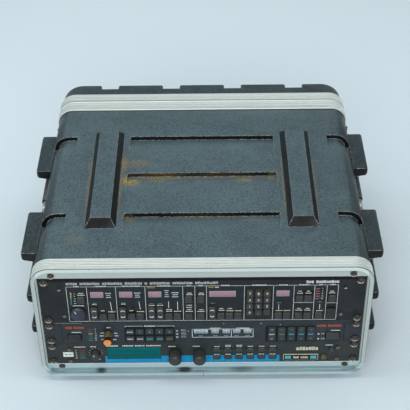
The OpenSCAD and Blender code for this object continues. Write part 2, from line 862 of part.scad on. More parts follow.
// Parts that the three units share
module panel_blank(z, units) {
  h = units * unit_h - panel_gap;
  difference() {
    slab([0, z + units * unit_h / 2], panel_w, h, 0, panel_t);
    for (x = [-screw_span / 2, screw_span / 2], s = [screw_inset, units * unit_h - screw_inset])
      slab([x, z + s], slot_l, screw_d + 2 * slot_clear, -over, panel_t + over, screw_d / 2);
  }
}
module key_hole(at, w, h) {
  slab(at, w + 2 * key_clear, h + 2 * key_clear, -over, panel_t + over);
}
module rocker_hole(at, w, h) {
  slab(at, w + 2 * key_clear, h + 2 * rocker_clear, -over, panel_t + over);
}
module side_rocker_hole(at, w, h) {
  slab(at, w + 2 * rocker_clear, h + 2 * key_clear, -over, panel_t + over);
}
module shaft_hole(at, d) { peg(at, d + 2 * shaft_clear, -over, panel_t + over); }
module window_hole(at, w, h) { slab(at, w, h, -over, panel_t + over, 0.8); }
module window_pane(at, w, h) {
  slab(at, w - 2 * fit, h - 2 * fit, 0.4, panel_t, 0.8 - fit);
}
// A key with a dished front and a lip behind the panel
module key(at, w, h) {
  lip_y = panel_t + key_lip_gap;
  dish = 0.5;
  rim = 1;
  difference() {
    slab(at, w, h, -key_reach, lip_y + key_lip_t);
    slab(at, w - 2 * rim, h - 2 * rim, -key_reach - over, dish - key_reach, key_corner / 2);
  }
  slab(at, w - 1, h + 2 * key_lip, lip_y, lip_y + key_lip_t);
}
// A rocker with two faces that slope in to its middle, a tapered back and a bore for its pin
module rocker_body(w, h) {
  front = -key_reach;
  back = rocker_pivot_y + rocker_back;
  along_x(-w / 2, w / 2) difference() {
    polygon([
      [front, h / 2], [front + rocker_dish, 0], [front, -h / 2],
      [rocker_pivot_y, -h / 2], [back, -h / 4], [back, h / 4], [rocker_pivot_y, h / 2]
    ]);
    translate([rocker_pivot_y, 0]) circle(d = rocker_pin_d + 2 * pin_clear);
  }
}
// The pin that a rocker turns on, across its hole in the panel
module rocker_pin(w) {
  reach = w / 2 + key_clear + rocker_pin_seat;
  along_x(-reach, reach) translate([rocker_pivot_y, 0]) circle(d = rocker_pin_d);
}
module upright_at(at) { translate([at[0], 0, at[1]]) children(); }
module sideways_at(at) { upright_at(at) rotate([0, 90, 0]) children(); }
module shaft(at, d = shaft_d, reach = 2) { peg(at, d, -reach, shaft_end_y); }

// A sheet-metal tray, open at the front and top, with side walls that start behind the switch board
module tray(z, h, depth) {
  x = body_w / 2;
  translate([-x, panel_t, z]) difference() {
    cube([body_w, depth, h]);
    translate([sheet_t, -over, sheet_t]) cube([body_w - 2 * sheet_t, depth - sheet_t + over, h]);
    translate([-over, -over, sheet_t]) cube([body_w + 2 * over, wall_start + over, h]);
  }
}
module board(z, w, y0, d) {
  floor_z = z + body_gap + sheet_t;
  translate([-w / 2, y0, floor_z + standoff]) cube([w, d, board_t]);
  for (x = [-w / 2 + post_inset, w / 2 - post_inset], y = [y0 + post_inset, y0 + d - post_inset])
    translate([x, y, floor_z]) cylinder(d = post_d, h = standoff);
}
// A row of chips across a board
module chips(z, board_w, y) {
  top = z + body_gap + sheet_t + standoff + board_t;
  start = chip_margin - board_w / 2;
  for (x = [start:chip_pitch:-start - chip_w]) translate([x, y, top]) cube([chip_w, chip_l, chip_h]);
}

// The delay unit
module delay_panel() {
  place() color("#191c1e") {
    for (x = rocker_x) upright_at([x, rocker_z]) rocker_pin(rocker_w);
    upright_at([power_x, power_z]) rocker_pin(power_w);
    delay_plate();
  }
}
module delay_plate() {
  difference() {
    panel_blank(delay_z, 2);
    for (at = concat(step_key_at, mode_key_at, memory_key_at, store_key_at, bypass_key_at))
      key_hole(at, key_w, key_w);
    for (at = pad_key_at) key_hole(at, pad_key_w, pad_key_w);
    for (x = rocker_x) rocker_hole([x, rocker_z], rocker_w, rocker_h);
    rocker_hole([power_x, power_z], power_w, power_h);
    for (pane = delay_window_at) window_hole([pane[0], window_z], pane[1], window_h);
    shaft_hole([level_x, level_z], shaft_d);
  }
}
module delay_windows() {
  place() color("#8f7f9c")
    for (pane = delay_window_at) window_pane([pane[0], window_z], pane[1], window_h);
}
module delay_chassis() {
  place() color("#5b6064") tray(delay_z + body_gap, delay_body_h - sheet_t, delay_d);
}
module delay_cover() {
  place() color("#4a4f53")
    translate([-body_w / 2, panel_t, delay_z + body_gap + delay_body_h - sheet_t])
      cube([body_w, delay_d, sheet_t]);
}
module delay_boards() {
  y = panel_t + switch_board_gap;
  w = switch_board_w;
  edge = 2;
  h = delay_body_h - 2 * sheet_t - 2 * edge;
  stud_d = 5;
  stud_in = 4;
  z = delay_z + unit_h;
  place() color("#2f5d3a") {
    slab([0, z], w, h, y, y + board_t);
    for (x = [stud_in - w / 2, w / 2 - stud_in], s = [-1, 1])
      peg([x, z + s * (h / 2 - stud_in)], stud_d, panel_t, y + board_t / 2);
    difference() {
      peg([level_x, level_z], shaft_d + stud_d, panel_t, y + board_t / 2);
      peg([level_x, level_z], shaft_d + 2 * shaft_clear, panel_t - over, y);
    }
    board(delay_z, main_board_w, main_board_y, delay_d - main_board_y - board_back);
    for (row = [0:2])
      chips(delay_z, main_board_w, main_board_y + 2 * chip_margin + row * chip_row_pitch);
  }
}
module delay_transformer() {
  x = body_w / 2 - sheet_t - transformer_side;
  floor_z = delay_z + body_gap + sheet_t;
  place() color("#6e6a5f") translate([x, delay_d - transformer_back, floor_z]) {
    translate([-core_w / 2, -core_l / 2, 0]) cube([core_w, core_l, core_h]);
    translate([-coil_w / 2, -coil_l / 2, (core_h - coil_h) / 2]) cube([coil_w, coil_l, coil_h]);
    translate([-core_w / 2 - foot_reach, -foot_l / 2, 0]) cube([core_w + 2 * foot_reach, foot_l, foot_t]);
  }
}
module rear_sockets() {
  jack_d = 12;
  jack_bore_d = 6.5;
  jack_l = 7;
  jack_x = -160;
  jack_pitch = 34;
  inlet_w = 27;
  inlet_h = 20;
  inlet_l = 4;
  inlet_x = 150;
  inlet_rim = 2.5;
  back_t = 1;
  units = [
    [delay_d, delay_z + unit_h, 6], [middle_d, middle_unit_z + unit_h / 2, 4], [bottom_d, unit_h / 2, 4]
  ];
  place() color("#25282a") for (unit = units) {
    y = panel_t + unit[0];
    for (i = [0:unit[2] - 1]) difference() {
      peg([jack_x + i * jack_pitch, unit[1]], jack_d, y, y + jack_l);
      peg([jack_x + i * jack_pitch, unit[1]], jack_bore_d, y + back_t, y + jack_l + over);
    }
    difference() {
      slab([inlet_x, unit[1]], inlet_w, inlet_h, y, y + inlet_l);
      slab(
        [inlet_x, unit[1]], inlet_w - 2 * inlet_rim, inlet_h - 2 * inlet_rim,
        y + back_t, y + inlet_l + over
      );
    }
  }
}
module level_knob() {
  at = [level_x, level_z];
  place() color("#1b1f33") {
    turned(at)
      polygon([
        [0, 0.8], [level_d / 2, 0.8], [level_d / 2, 2.4], [level_d / 2 - 1.2, level_reach - 1],
        [level_d / 2 - 2.2, level_reach], [0, level_reach]
      ]);
    shaft(at);
  }
}
module power_rocker() {
  place() color("#17191b") upright_at([power_x, power_z]) rocker_body(power_w, power_h);
}
module step_rocker(i) {
  place() color("#26292c") upright_at([rocker_x[i], rocker_z]) rocker_body(rocker_w, rocker_h);
}
module delay_keys(at) { place() color("#26292c") for (spot = at) key(spot, key_w, key_w); }
module keypad() { place() color("#26292c") for (spot = pad_key_at) key(spot, pad_key_w, pad_key_w); }

// The middle unit
module middle_panel() {
  place() color("#2c3338") {
    sideways_at([input_x, input_z]) rocker_pin(input_h);
    sideways_at([middle_power_x, middle_power_z]) rocker_pin(middle_power_h);
    middle_plate();
  }
}
module middle_plate() {
  difference() {
    panel_blank(middle_unit_z, 1);
    for (at = programme_at) key_hole(at, programme_w, programme_h);
    for (at = parameter_at) key_hole(at, parameter_w, parameter_h);
    side_rocker_hole([input_x, input_z], input_w, input_h);
    side_rocker_hole([middle_power_x, middle_power_z], middle_power_w, middle_power_h);
    for (pane = middle_window_at) window_hole([pane[0], middle_window_z], pane[1], middle_window_h);
    shaft_hole([dual_x, dual_z], shaft_d + 2 * sleeve_t);
  }
}
module middle_windows() {
  place() color("#a9bcc8")
    for (pane = middle_window_at) window_pane([pane[0], middle_window_z], pane[1], middle_window_h);
}
module closed_body(z, depth) {
  tray(z + body_gap, slim_body_h, depth);
  translate([-body_w / 2, panel_t, z + body_gap + slim_body_h - sheet_t]) cube([body_w, depth, sheet_t]);
}
module middle_chassis() { place() color("#50555a") closed_body(middle_unit_z, middle_d); }
module slim_boards() {
  place() color("#2f5d3a") {
    for (unit = [[middle_unit_z, middle_d], [bottom_z, bottom_d]]) {
      board(unit[0], slim_board_w, slim_board_y, unit[1] - slim_board_y - board_back);
      chips(unit[0], slim_board_w, slim_board_y + 2 * chip_margin);
    }
  }
}
module dual_knob_outer() {
  at = [dual_x, dual_z];
  inner_bore = shaft_d / 2 + shaft_clear;
  sleeve_r = shaft_d / 2 + sleeve_t;
  place() color("#8a6f3c") turned(at)
    polygon([
      [inner_bore, -shaft_end_y], [sleeve_r, -shaft_end_y], [sleeve_r, 0.8], [outer_d / 2, 0.8],
      [outer_d / 2, 3], [outer_d / 2 - 1.5, outer_reach], [inner_bore, outer_reach]
    ]);
}
module dual_knob_inner() {
  at = [dual_x, dual_z];
  skirt = outer_reach + 0.5;
  place() color("#c8622a") {
    turned(at)
      polygon([
        [0, skirt], [inner_d / 2, skirt], [inner_d / 2 - 0.6, inner_reach - 1],
        [inner_d / 2 - 1.6, inner_reach], [0, inner_reach]
      ]);
    shaft(at, shaft_d, skirt + 1);
  }
}
module input_rocker() {
  place() color("#15181a") sideways_at([input_x, input_z]) rocker_body(input_h, input_w);
}
module programme_keys() {
  place() color("#3a4247") for (at = programme_at) key(at, programme_w, programme_h);
}
module parameter_keys() {
  place() color("#3a4247") for (at = parameter_at) key(at, parameter_w, parameter_h);
}
module middle_power_rocker() {
  place() color("#15181a")
    sideways_at([middle_power_x, middle_power_z]) rocker_body(middle_power_h, middle_power_w);
}

// The bottom unit
module bottom_panel() {
  place() color("#17191b") difference() {
    panel_blank(bottom_z, 1);
    for (at = oval_at)
      slab(at, oval_w + 2 * key_clear, oval_h + 2 * key_clear, -over, panel_t + over, oval_h / 2);
    window_hole([display_x, display_z], display_w, display_h);
    shaft_hole([trim_x, trim_z], shaft_d);
    for (x = wheel_x) shaft_hole([x, wheel_z], shaft_d);
    slab([card_x, card_z], card_slot_w, card_slot_h, -over, panel_t + over, 0.5);
    peg([eject_x, eject_z], button_d + 2 * key_clear, -over, panel_t + over);
    peg([power_button_x, power_button_z], button_d + 2 * key_clear, -over, panel_t + over);
  }
}
module bottom_display() {
  place() color("#1d6f78") window_pane([display_x, display_z], display_w, display_h);
}
module bottom_chassis() { place() color("#50555a") closed_body(bottom_z, bottom_d); }
module card_slot() {
  place() color("#d8d2b8") difference() {
    slab([card_x, card_z], card_bezel_w, card_bezel_h, -card_bezel_t, 0, 1);
    slab([card_x, card_z], card_slot_w, card_slot_h, -card_bezel_t - over, over, 0.5);
  }
}
module trim_knob() {
  at = [trim_x, trim_z];
  place() color("#141618") {
    turned(at)
      polygon([
        [0, 0.8], [trim_d / 2, 0.8], [trim_d / 2 - 0.8, trim_reach - 0.8],
        [trim_d / 2 - 1.6, trim_reach], [0, trim_reach]
      ]);
    shaft(at);
  }
}
module value_wheel(i) {
  at = [wheel_x[i], wheel_z];
  rib_d = 1.8;
  body_r = wheel_d / 2 - rib_d / 2;
  place() color("#141618") {
    turned(at)
      polygon([
        [0, 0.8], [body_r, 0.8], [body_r, wheel_reach - 1.5], [body_r - 1.5, wheel_reach], [0, wheel_reach]
      ]);
    for (turn = [0:wheel_ribs - 1])
      translate([at[0], 0, at[1]]) rotate([0, turn * 360 / wheel_ribs, 0])
        peg([body_r, 0], rib_d, -wheel_reach + 2.5, -2);
    shaft(at);
  }
}
module oval_keys() {
  lip_y = panel_t + key_lip_gap;
  place() color("#2a2d30") for (at = oval_at) {
    slab(at, oval_w, oval_h, -key_reach, lip_y + key_lip_t, oval_h / 2 - 0.1);
    slab(at, oval_w - oval_h, oval_h + 2 * key_lip, lip_y, lip_y + key_lip_t);
  }
}
module round_button(at) {
  lip_y = panel_t + key_lip_gap;
  peg(at, button_d, -key_reach, lip_y + key_lip_t);
  peg(at, button_d + 2 * key_lip, lip_y, lip_y + key_lip_t);
}
module eject_button() { place() color("#7d7a45") round_button([eject_x, eject_z]); }
module power_button() { place() color("#1c1e20") round_button([power_button_x, power_button_z]); }

case_shell();
front_valance();
rear_valance();
rack_rails();
rack_screws();
cup_washers();
corner_screws();
latch_keepers();
handle_plates();
delay_panel();
delay_chassis();
delay_cover();
delay_boards();
delay_transformer();
delay_windows();
rear_sockets();
middle_panel();
middle_chassis();
middle_windows();
bottom_panel();
bottom_chassis();
bottom_display();
card_slot();
slim_boards();
rear_lid();
lid_valance();
latch_plates();
latch_wing(1, -1);  // latch_wing_right_low
latch_wing(1, 1);  // latch_wing_right_high
latch_wing(-1, -1);  // latch_wing_left_low
latch_wing(-1, 1);  // latch_wing_left_high
bail(1);  // bail_right
bail(-1);  // bail_left
grip(1);  // grip_right
grip(-1);  // grip_left
level_knob();
power_rocker();
keypad();
step_rocker(0);  // step_rocker_1
step_rocker(1);  // step_rocker_2
step_rocker(2);  // step_rocker_3
step_rocker(3);  // step_rocker_4
step_rocker(4);  // step_rocker_5
delay_keys(step_key_at);  // step_keys
delay_keys(mode_key_at);  // mode_keys
delay_keys(memory_key_at);  // memory_keys
delay_keys(store_key_at);  // store_keys
delay_keys(bypass_key_at);  // bypass_keys
dual_knob_inner();
dual_knob_outer();
input_rocker();
programme_keys();
parameter_keys();
middle_power_rocker();
trim_knob();
value_wheel(0);  // value_wheel_left
value_wheel(1);  // value_wheel_right
oval_keys();
eject_button();
power_button();
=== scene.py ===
import json
import math

import bmesh
import bpy
from mathutils import Matrix, Vector

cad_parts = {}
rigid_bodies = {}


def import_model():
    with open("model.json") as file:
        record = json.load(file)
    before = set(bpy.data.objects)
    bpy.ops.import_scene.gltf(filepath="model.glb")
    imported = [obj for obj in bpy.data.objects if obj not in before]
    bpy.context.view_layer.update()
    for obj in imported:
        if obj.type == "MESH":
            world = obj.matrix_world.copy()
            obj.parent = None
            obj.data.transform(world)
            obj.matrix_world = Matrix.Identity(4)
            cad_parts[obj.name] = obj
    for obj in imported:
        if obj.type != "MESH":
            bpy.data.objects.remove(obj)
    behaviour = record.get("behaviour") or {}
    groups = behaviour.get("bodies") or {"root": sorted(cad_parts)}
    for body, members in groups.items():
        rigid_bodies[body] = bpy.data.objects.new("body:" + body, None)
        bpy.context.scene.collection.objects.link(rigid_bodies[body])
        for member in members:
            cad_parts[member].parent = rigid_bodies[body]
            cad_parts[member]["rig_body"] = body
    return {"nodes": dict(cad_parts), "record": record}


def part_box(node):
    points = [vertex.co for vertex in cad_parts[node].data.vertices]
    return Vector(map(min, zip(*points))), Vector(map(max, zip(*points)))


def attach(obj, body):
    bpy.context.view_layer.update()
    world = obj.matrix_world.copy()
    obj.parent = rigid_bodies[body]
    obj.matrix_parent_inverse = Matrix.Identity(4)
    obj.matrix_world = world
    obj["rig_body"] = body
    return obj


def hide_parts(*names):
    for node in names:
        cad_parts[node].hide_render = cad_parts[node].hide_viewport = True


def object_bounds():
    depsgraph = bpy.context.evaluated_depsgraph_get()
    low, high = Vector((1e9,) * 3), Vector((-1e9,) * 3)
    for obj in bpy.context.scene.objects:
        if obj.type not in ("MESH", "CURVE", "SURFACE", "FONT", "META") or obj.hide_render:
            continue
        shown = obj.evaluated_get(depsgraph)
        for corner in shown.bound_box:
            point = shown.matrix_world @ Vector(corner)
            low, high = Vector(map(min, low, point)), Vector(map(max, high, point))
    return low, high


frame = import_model()
cadLow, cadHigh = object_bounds()
nodes = frame["nodes"]
slotOf = {part["node"]: part["material_slot"] for part in frame["record"]["subparts"]}
mm = 0.001
print("frame loaded:", len(nodes), "solids")

# the panels' front plane and the foot of the rack, from which printed details are placed
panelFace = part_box("delay_panel")[0].y
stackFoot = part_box("bottom_panel")[0].z - 0.4 * mm
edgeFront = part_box("front_valance")[0].y
# the outside of the case's side walls
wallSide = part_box("case_shell")[1].x - 24.5 * mm
# how far roughness varies, how brightly a dark lamp glows, and how near vertices have to be to join
roughSpread, lampGlow, joinReach = 0.06, 0.05, 0.002 * mm


def onPanel(x, z, out=0.0):
    return Vector((x * mm, panelFace - out * mm, stackFoot + z * mm))


def turned(angle, axis):
    return Matrix.Rotation(math.radians(angle), 4, axis)


# a place on the panels at some reach from another, turned clockwise from straight up
def around(x, z, reach, turn):
    return x + reach * math.sin(math.radians(turn)), z + reach * math.cos(math.radians(turn))


def tone(red, green, blue):
    # a colour as it looks on a screen, from 0 to 255
    steps = [v / 255 for v in (red, green, blue)]
    linear = [v / 12.92 if v <= 0.04045 else ((v + 0.055) / 1.055) ** 2.4 for v in steps]
    return (*linear, 1.0)


# a dictionary's tuples of three are colours as they look on a screen
def toned(look):
    return {key: tone(*value) if isinstance(value, tuple) and len(value) == 3 else value
            for key, value in look.items()}


# node helpers
current = {}


# the helpers below add their nodes to the material that was started last
def startMaterial(name):
    made = bpy.data.materials.new(name)
    made.use_nodes = True
    current["tree"] = made.node_tree
    return made


def fill(node, values):
    for key, value in values.items():
        if isinstance(value, bpy.types.NodeSocket):
            current["tree"].links.new(value, node.inputs[key])
        else:
            node.inputs[key].default_value = value
    return node


def shaderOf(made):
    return made.node_tree.nodes["Principled BSDF"]


def addNode(kind, settings=None, values=None):
    node = current["tree"].nodes.new(kind)
    for key, value in (settings or {}).items():
        setattr(node, key, value)
    return fill(node, values or {})


def objectCoords(scale=None, at=(0, 0, 0)):
    coords = addNode("ShaderNodeTexCoord").outputs["Object"]
    if scale is None:
        return coords
    shift = tuple(-a * s for a, s in zip(at, scale))
    mapping = addNode("ShaderNodeMapping", None, {"Vector": coords, "Scale": scale, "Location": shift})
    return mapping.outputs[0]


def noise(coords, scale, detail, rough=0.55):
    node = addNode("ShaderNodeTexNoise", None,
                   {"Vector": coords, "Scale": scale, "Detail": detail, "Roughness": rough})
    return node.outputs[0]


def spread(value, low, high, toLow=0.0, toHigh=1.0):
    node = addNode("ShaderNodeMapRange", {"interpolation_type": "SMOOTHSTEP"},
                   {"Value": value, "From Min": low, "From Max": high, "To Min": toLow, "To Max": toHigh})
    return node.outputs[0]


def patches(scale, detail, low, high, toLow=0.0, toHigh=1.0, rough=0.55):
    return spread(noise(objectCoords(), scale, detail, rough), low, high, toLow, toHigh)


def sums(operation, first, second):
    return addNode("ShaderNodeMath", {"operation": operation}, {0: first, 1: second}).outputs[0]


def product(first, *others):
    for other in others:
        first = sums("MULTIPLY", first, other)
    return first


def either(first, second):
    return sums("MAXIMUM", first, second)


def mixTones(factor, first, second):
    node = addNode("ShaderNodeMix", {"data_type": "RGBA"}, {0: factor, 6: first, 7: second})
    return node.outputs[2]


# a tone laid over a colour where all the masks are
def layer(colour, shade, *masks):
    return mixTones(product(*masks), colour, shade)


def bump(height, distance, strength):
    values = {"Height": height, "Distance": distance, "Strength": strength}
    return addNode("ShaderNodeBump", None, values).outputs[0]


def partOf(vector, axis):
    return addNode("ShaderNodeSeparateXYZ", None, {0: vector}).outputs[axis]


def edgeMask(radius, low=0.9, high=0.995):
    rounded = addNode("ShaderNodeBevel", {"samples": 4}, {"Radius": radius}).outputs[0]
    plain = addNode("ShaderNodeNewGeometry").outputs["Normal"]
    facing = addNode("ShaderNodeVectorMath", {"operation": "DOT_PRODUCT"}, {0: rounded, 1: plain})
    return spread(facing.outputs["Value"], high, low)


# how far a surface faces along an axis, upward unless told otherwise
def upMask(low=0.55, high=0.95, axis="Z"):
    normal = addNode("ShaderNodeNewGeometry").outputs["Normal"]
    return spread(partOf(normal, axis), low, high)


def creaseMask(distance, low=0.75, high=0.25):
    node = addNode("ShaderNodeAmbientOcclusion", {"samples": 8, "only_local": True}, {"Distance": distance})
    return spread(node.outputs["AO"], low, high)


# a soft ball round a place, with its reach along each axis in mm
def ballMask(at, reach, low, high, strength):
    near = objectCoords(tuple(1 / (v * mm) for v in reach), at)
    ball = addNode("ShaderNodeTexGradient", {"gradient_type": "SPHERICAL"}, {"Vector": near})
    return spread(ball.outputs[1], low, high, 0.0, strength)


# a surface with two tones, grain, dust and worn edges, as its dictionary says
finishDefaults = {"metal": 0.0, "specular": 0.5, "mottle": 30, "grain": 1200, "grainHeight": 0.05, "wear": 0,
                  "dust": 0, "dustTone": (150, 154, 152)}


def surface(first, second, rough, **rest):
    return {"tone": first, "second": second, "rough": rough, **rest}


def finish(name, look):
    look = toned({**finishDefaults, **look})
    made = startMaterial(name)
    coords = objectCoords()
    broad = noise(coords, look["mottle"], 6, 0.6)
    colour = mixTones(spread(broad, 0.38, 0.66), look["tone"], look["second"])
    rough = spread(noise(coords, look["mottle"] * 3.1, 5), 0.3, 0.7,
                   look["rough"] - roughSpread, look["rough"] + roughSpread)
    if look["wear"]:
        patch = patches(220, 4, 0.42, 0.62)
        colour = layer(colour, look["wearTone"], edgeMask(look["wearRadius"] * mm), patch, look["wear"])
    if look["dust"]:
        specks = patches(900, 2, 0.66, 0.74)
        film = patches(40, 7, 0.4, 0.8, 0.15, 1.0, rough=0.7)
        settled = product(either(specks, film), upMask(), look["dust"])
        colour = layer(colour, look["dustTone"], settled)
        rough = sums("ADD", rough, product(settled, 0.25))
    fill(shaderOf(made), {"Base Color": colour, "Roughness": rough, "Metallic": look["metal"],
                          "Specular IOR Level": look["specular"],
                          "Normal": bump(noise(coords, look["grain"], 3), look["grainHeight"] * mm, 0.3)})
    return made


# the case's pebbled plastic: a pale film on top that is partly dust and partly painted sheen, scuffs, edges
# with painted highlights and glints, grime in creases, stains in recesses
shellLook = {
    # film is a pale dust film that also carries painted sheen, glint is a painted highlight, and worn serves
    # both wear and painted highlights
    "plastic": (11, 13, 14), "pale": (16, 19, 20), "film": (95, 118, 125), "seam": (15, 17, 18),
    "worn": (150, 160, 162), "glint": (226, 230, 224), "grime": (104, 92, 62), "tan": (172, 150, 94),
    "wash": (74, 70, 54), "specular": 0.26, "rough": 0.36, "pebble": 430, "pebbleHeight": 0.3, "scuffs": 0.2,
    # stains: middle across the case and behind the panels, reach in both directions in mm, and how strong
    "stains": [(-112, 208, 20, 22, 1.0), (-119, 206, 14, 16, 1.7), (-62, 221, 80, 7, 0.8),
               (-72, 212, 26, 9, 0.5), (30, 222, 120, 5, 0.55), (68, 212, 24, 12, 0.6),
               (112, 220, 12, 9, 0.7), (-126, 250, 8, 30, 0.85), (-104, 252, 30, 17, 0.4),
               (-112, 116, 16, 12, 0.55), (0, 121, 130, 4, 0.35), (84, 112, 26, 8, 0.3),
               (-129, 200, 4, 130, 0.5), (-179, 190, 4, 120, 0.4), (129, 190, 4, 120, 0.35),
               (179, 190, 4, 120, 0.3), (-190, 62, 26, 14, 0.2)],
    "stainDepth": 16, "stainReach": 22,
}


def shellPlastic(name, film):
    look = toned(shellLook)
    made = startMaterial(name)
    coords = objectCoords()
    broad = noise(coords, 9, 7, 0.62)
    colour = mixTones(spread(broad, 0.35, 0.68), look["plastic"], look["pale"])
    # the film lies on what faces up, thinner over the bumpers; it is part dust and part painted sheen,
    # lighter where the light above falls
    up = upMask(0.78, 0.99)
    across, along = partOf(coords, "X"), partOf(coords, "Y")
    outward = sums("ABSOLUTE", across, 0.0)
    inside = spread(outward, wallSide + 1 * mm, wallSide - 8 * mm, 0.4, 1.0)
    corner = spread(outward, wallSide - 27 * mm, wallSide - 22 * mm)
    up = either(up, product(upMask(0.25, 0.95), corner, 0.55))
    thick = patches(14, 8, 0.3, 0.75, 0.72, 1.0, rough=0.7)
    # it thins out to the right and to the rear, where the painted sheen fades
    thick = product(thick, spread(across, 0.1, wallSide, 1.0, 0.84))
    thick = product(thick, spread(along, panelFace + 0.28, panelFace + 0.4, 1.0, 0.88))
    colour = layer(colour, look["film"], up, inside, thick, film)
    # pebbles: dark seams between them, and a few lit with painted glints
    cells = addNode("ShaderNodeTexVoronoi", {"feature": "F1"}, {"Vector": coords, "Scale": look["pebble"]})
    seams = spread(cells.outputs["Distance"], 0.3, 0.8)
    colour = layer(colour, look["seam"], seams, 0.44)
    chance = partOf(cells.outputs["Color"], "X")
    colour = layer(colour, look["worn"], spread(chance, 0.86, 0.97), up, 0.09)
    # nicks in the flat behind the front edge
    near = spread(along, panelFace + 95 * mm, panelFace + 40 * mm)
    colour = layer(colour, look["worn"], patches(150, 3, 0.7, 0.74), near, up, 0.6)
    # long fine scuffs in two directions
    for turn in ((3, 160, 160), (130, 5, 130)):
        streak = spread(noise(objectCoords(turn), 1.0, 5, 0.7), 0.63, 0.72)
        patch = patches(16, 3, 0.5, 0.62)
        colour = layer(colour, look["worn"], streak, patch, look["scuffs"])
    # edges lightened, partly worn and partly painted highlight, more on edges that face forward, with painted
    # glints on them
    patchy = patches(130, 5, 0.38, 0.62)
    ahead = either(upMask(-0.06, -0.35, "Y"), 0.4)
    colour = layer(colour, look["worn"], edgeMask(1.8 * mm, 0.95, 0.998), patchy, ahead, 0.5)
    points = patches(420, 2, 0.44, 0.58)
    colour = layer(colour, look["glint"], edgeMask(1.5 * mm), points, ahead)
    # grime in the creases, and stains that ran along the recesses
    crease = product(creaseMask(5 * mm), patches(160, 6, 0.45, 0.65),
                     upMask(0.2, 0.7), 0.55)
    colour = layer(colour, look["grime"], crease)
    stain = None
    blotch = patches(320, 6, 0.42, 0.6, rough=0.75)
    top = cadHigh.z - look["stainDepth"] * mm
    for x, y, reachX, reachY, strength in look["stains"]:
        at = (x * mm, panelFace + y * mm, top)
        spot = ballMask(at, (reachX, reachY, look["stainReach"]), 0.05, 0.7, strength)
        stain = spot if stain is None else either(stain, spot)
    colour = layer(colour, look["wash"], stain, 0.55)
    stain = product(stain, blotch, 0.8)
    colour = layer(colour, look["tan"], stain)
    rough = patches(60, 5, 0.3, 0.7, look["rough"] - roughSpread, look["rough"] + roughSpread)
    rough = sums("ADD", rough, product(either(stain, crease), 0.3))
    height = sums("SUBTRACT", noise(coords, look["pebble"] * 2, 2), cells.outputs["Distance"])
    fill(shaderOf(made), {"Base Color": colour, "Roughness": rough, "Specular IOR Level": look["specular"],
                          "Normal": bump(height, look["pebbleHeight"] * mm, 0.25)})
    return made


# drawn aluminium, satin, with fine lines that run round the case
aluminiumLook = {
    # ledge, side and line are painted shade tones, line also darkens the lid's joint; the darkest tone paints
    # shade in creases and the dark patches
    "bright": (230, 238, 232), "dull": (219, 228, 223), "mark": (110, 118, 116), "darkening": (70, 78, 78),
    "ledge": (190, 194, 189), "side": (184, 189, 185), "line": (74, 84, 80), "rough": 0.42, "metal": 0.72,
    # bands of painted reflection under the panels: top and foot in mm, how strong, and their tone
    "foot": [(2, -40, 0.8, tone(200, 220, 224)), (-9.5, -17.6, 0.62, tone(104, 134, 140))],
    # dark patches on the foot of the frame: middle and reach in mm, and how strong
    "darkPatches": [(-29, 18, 1.4), (-160, 14, 1.0), (60, 34, 0.6)], "darkPatchAt": -15,
    "darkPatchDeep": 20 / 3, "darkPatchHigh": 7.5,
}


def edgeAluminium(name, lines, front=False):
    look = toned(aluminiumLook)
    made = startMaterial(name)
    coords = objectCoords()
    streaks = noise(objectCoords((2.5, 620, 2.5)), 1.0, 4, 0.6)
    smudge = noise(coords, 26, 6, 0.65)
    dulled = sums("ADD", product(streaks, 0.5), product(smudge, 0.5))
    colour = mixTones(spread(dulled, 0.36, 0.68), look["bright"], look["dull"])
    colour = layer(colour, look["mark"], patches(300, 3, 0.67, 0.73), 0.45)
    # painted shade in the creases
    colour = layer(colour, look["darkening"], creaseMask(2.5 * mm, 0.65, 0.15), 0.4)
    across, along, upward = (partOf(coords, axis) for axis in "XYZ")
    ahead = upMask(-0.8, -0.97, "Y")
    aside = sums("SUBTRACT", 1.0, ahead)
    soft = 0.3 * mm
    # dark lines along the profile: a joint on the lid's profiles, painted shade along the front frame's lip
    # edge and groove
    for near, far, strength in lines:
        colour = layer(colour, look["line"], spread(along, near - soft, near + soft),
                       spread(along, far + soft, far - soft), aside, strength)
    if front:
        # painted shade: the ledge round the panels is duller than the lip, and the upright sides are greyer
        behind = spread(along, panelFace - 0.6 * mm, panelFace - 0.2 * mm)
        colour = layer(colour, look["ledge"], ahead, behind, 0.8)
        side = spread(sums("ABSOLUTE", across, 0.0), wallSide - 9 * mm, wallSide - 6 * mm)
        colour = layer(colour, look["side"], side, ahead, 0.75)
        # the foot of the frame gets painted reflections of the paper in two bands, the lower one darker, and
        # dark patches
        for high, low, strength, shade in look["foot"]:
            colour = layer(colour, shade, spread(upward, stackFoot + high * mm, stackFoot + (high - 2) * mm),
                           spread(upward, stackFoot + (low - 2) * mm, stackFoot + low * mm), strength)
        for x, wide, strength in look["darkPatches"]:
            at = (x * mm, panelFace - 1.5 * mm, stackFoot + look["darkPatchAt"] * mm)
            reach = (wide, look["darkPatchDeep"], look["darkPatchHigh"])
            colour = layer(colour, look["darkening"], ballMask(at, reach, 0.1, 0.8, strength))
    rough = spread(dulled, 0.3, 0.7, look["rough"] - 0.06, look["rough"] + 0.1)
    fill(shaderOf(made), {"Base Color": colour, "Roughness": rough, "Metallic": look["metal"],
                          "Normal": bump(streaks, 0.05 * mm, 0.25)})
    return made


# screws and washers: dark, with a painted reflection of the floor lightening what faces down
def screwMetal(name, look):
    made = finish(name, look)
    colour = shaderOf(made).inputs["Base Color"].links[0].from_socket
    rubbed = layer(colour, tone(*look["wearTone"]), upMask(-0.02, -0.22), look["rubbed"])
    fill(shaderOf(made), {"Base Color": rubbed})
    return made


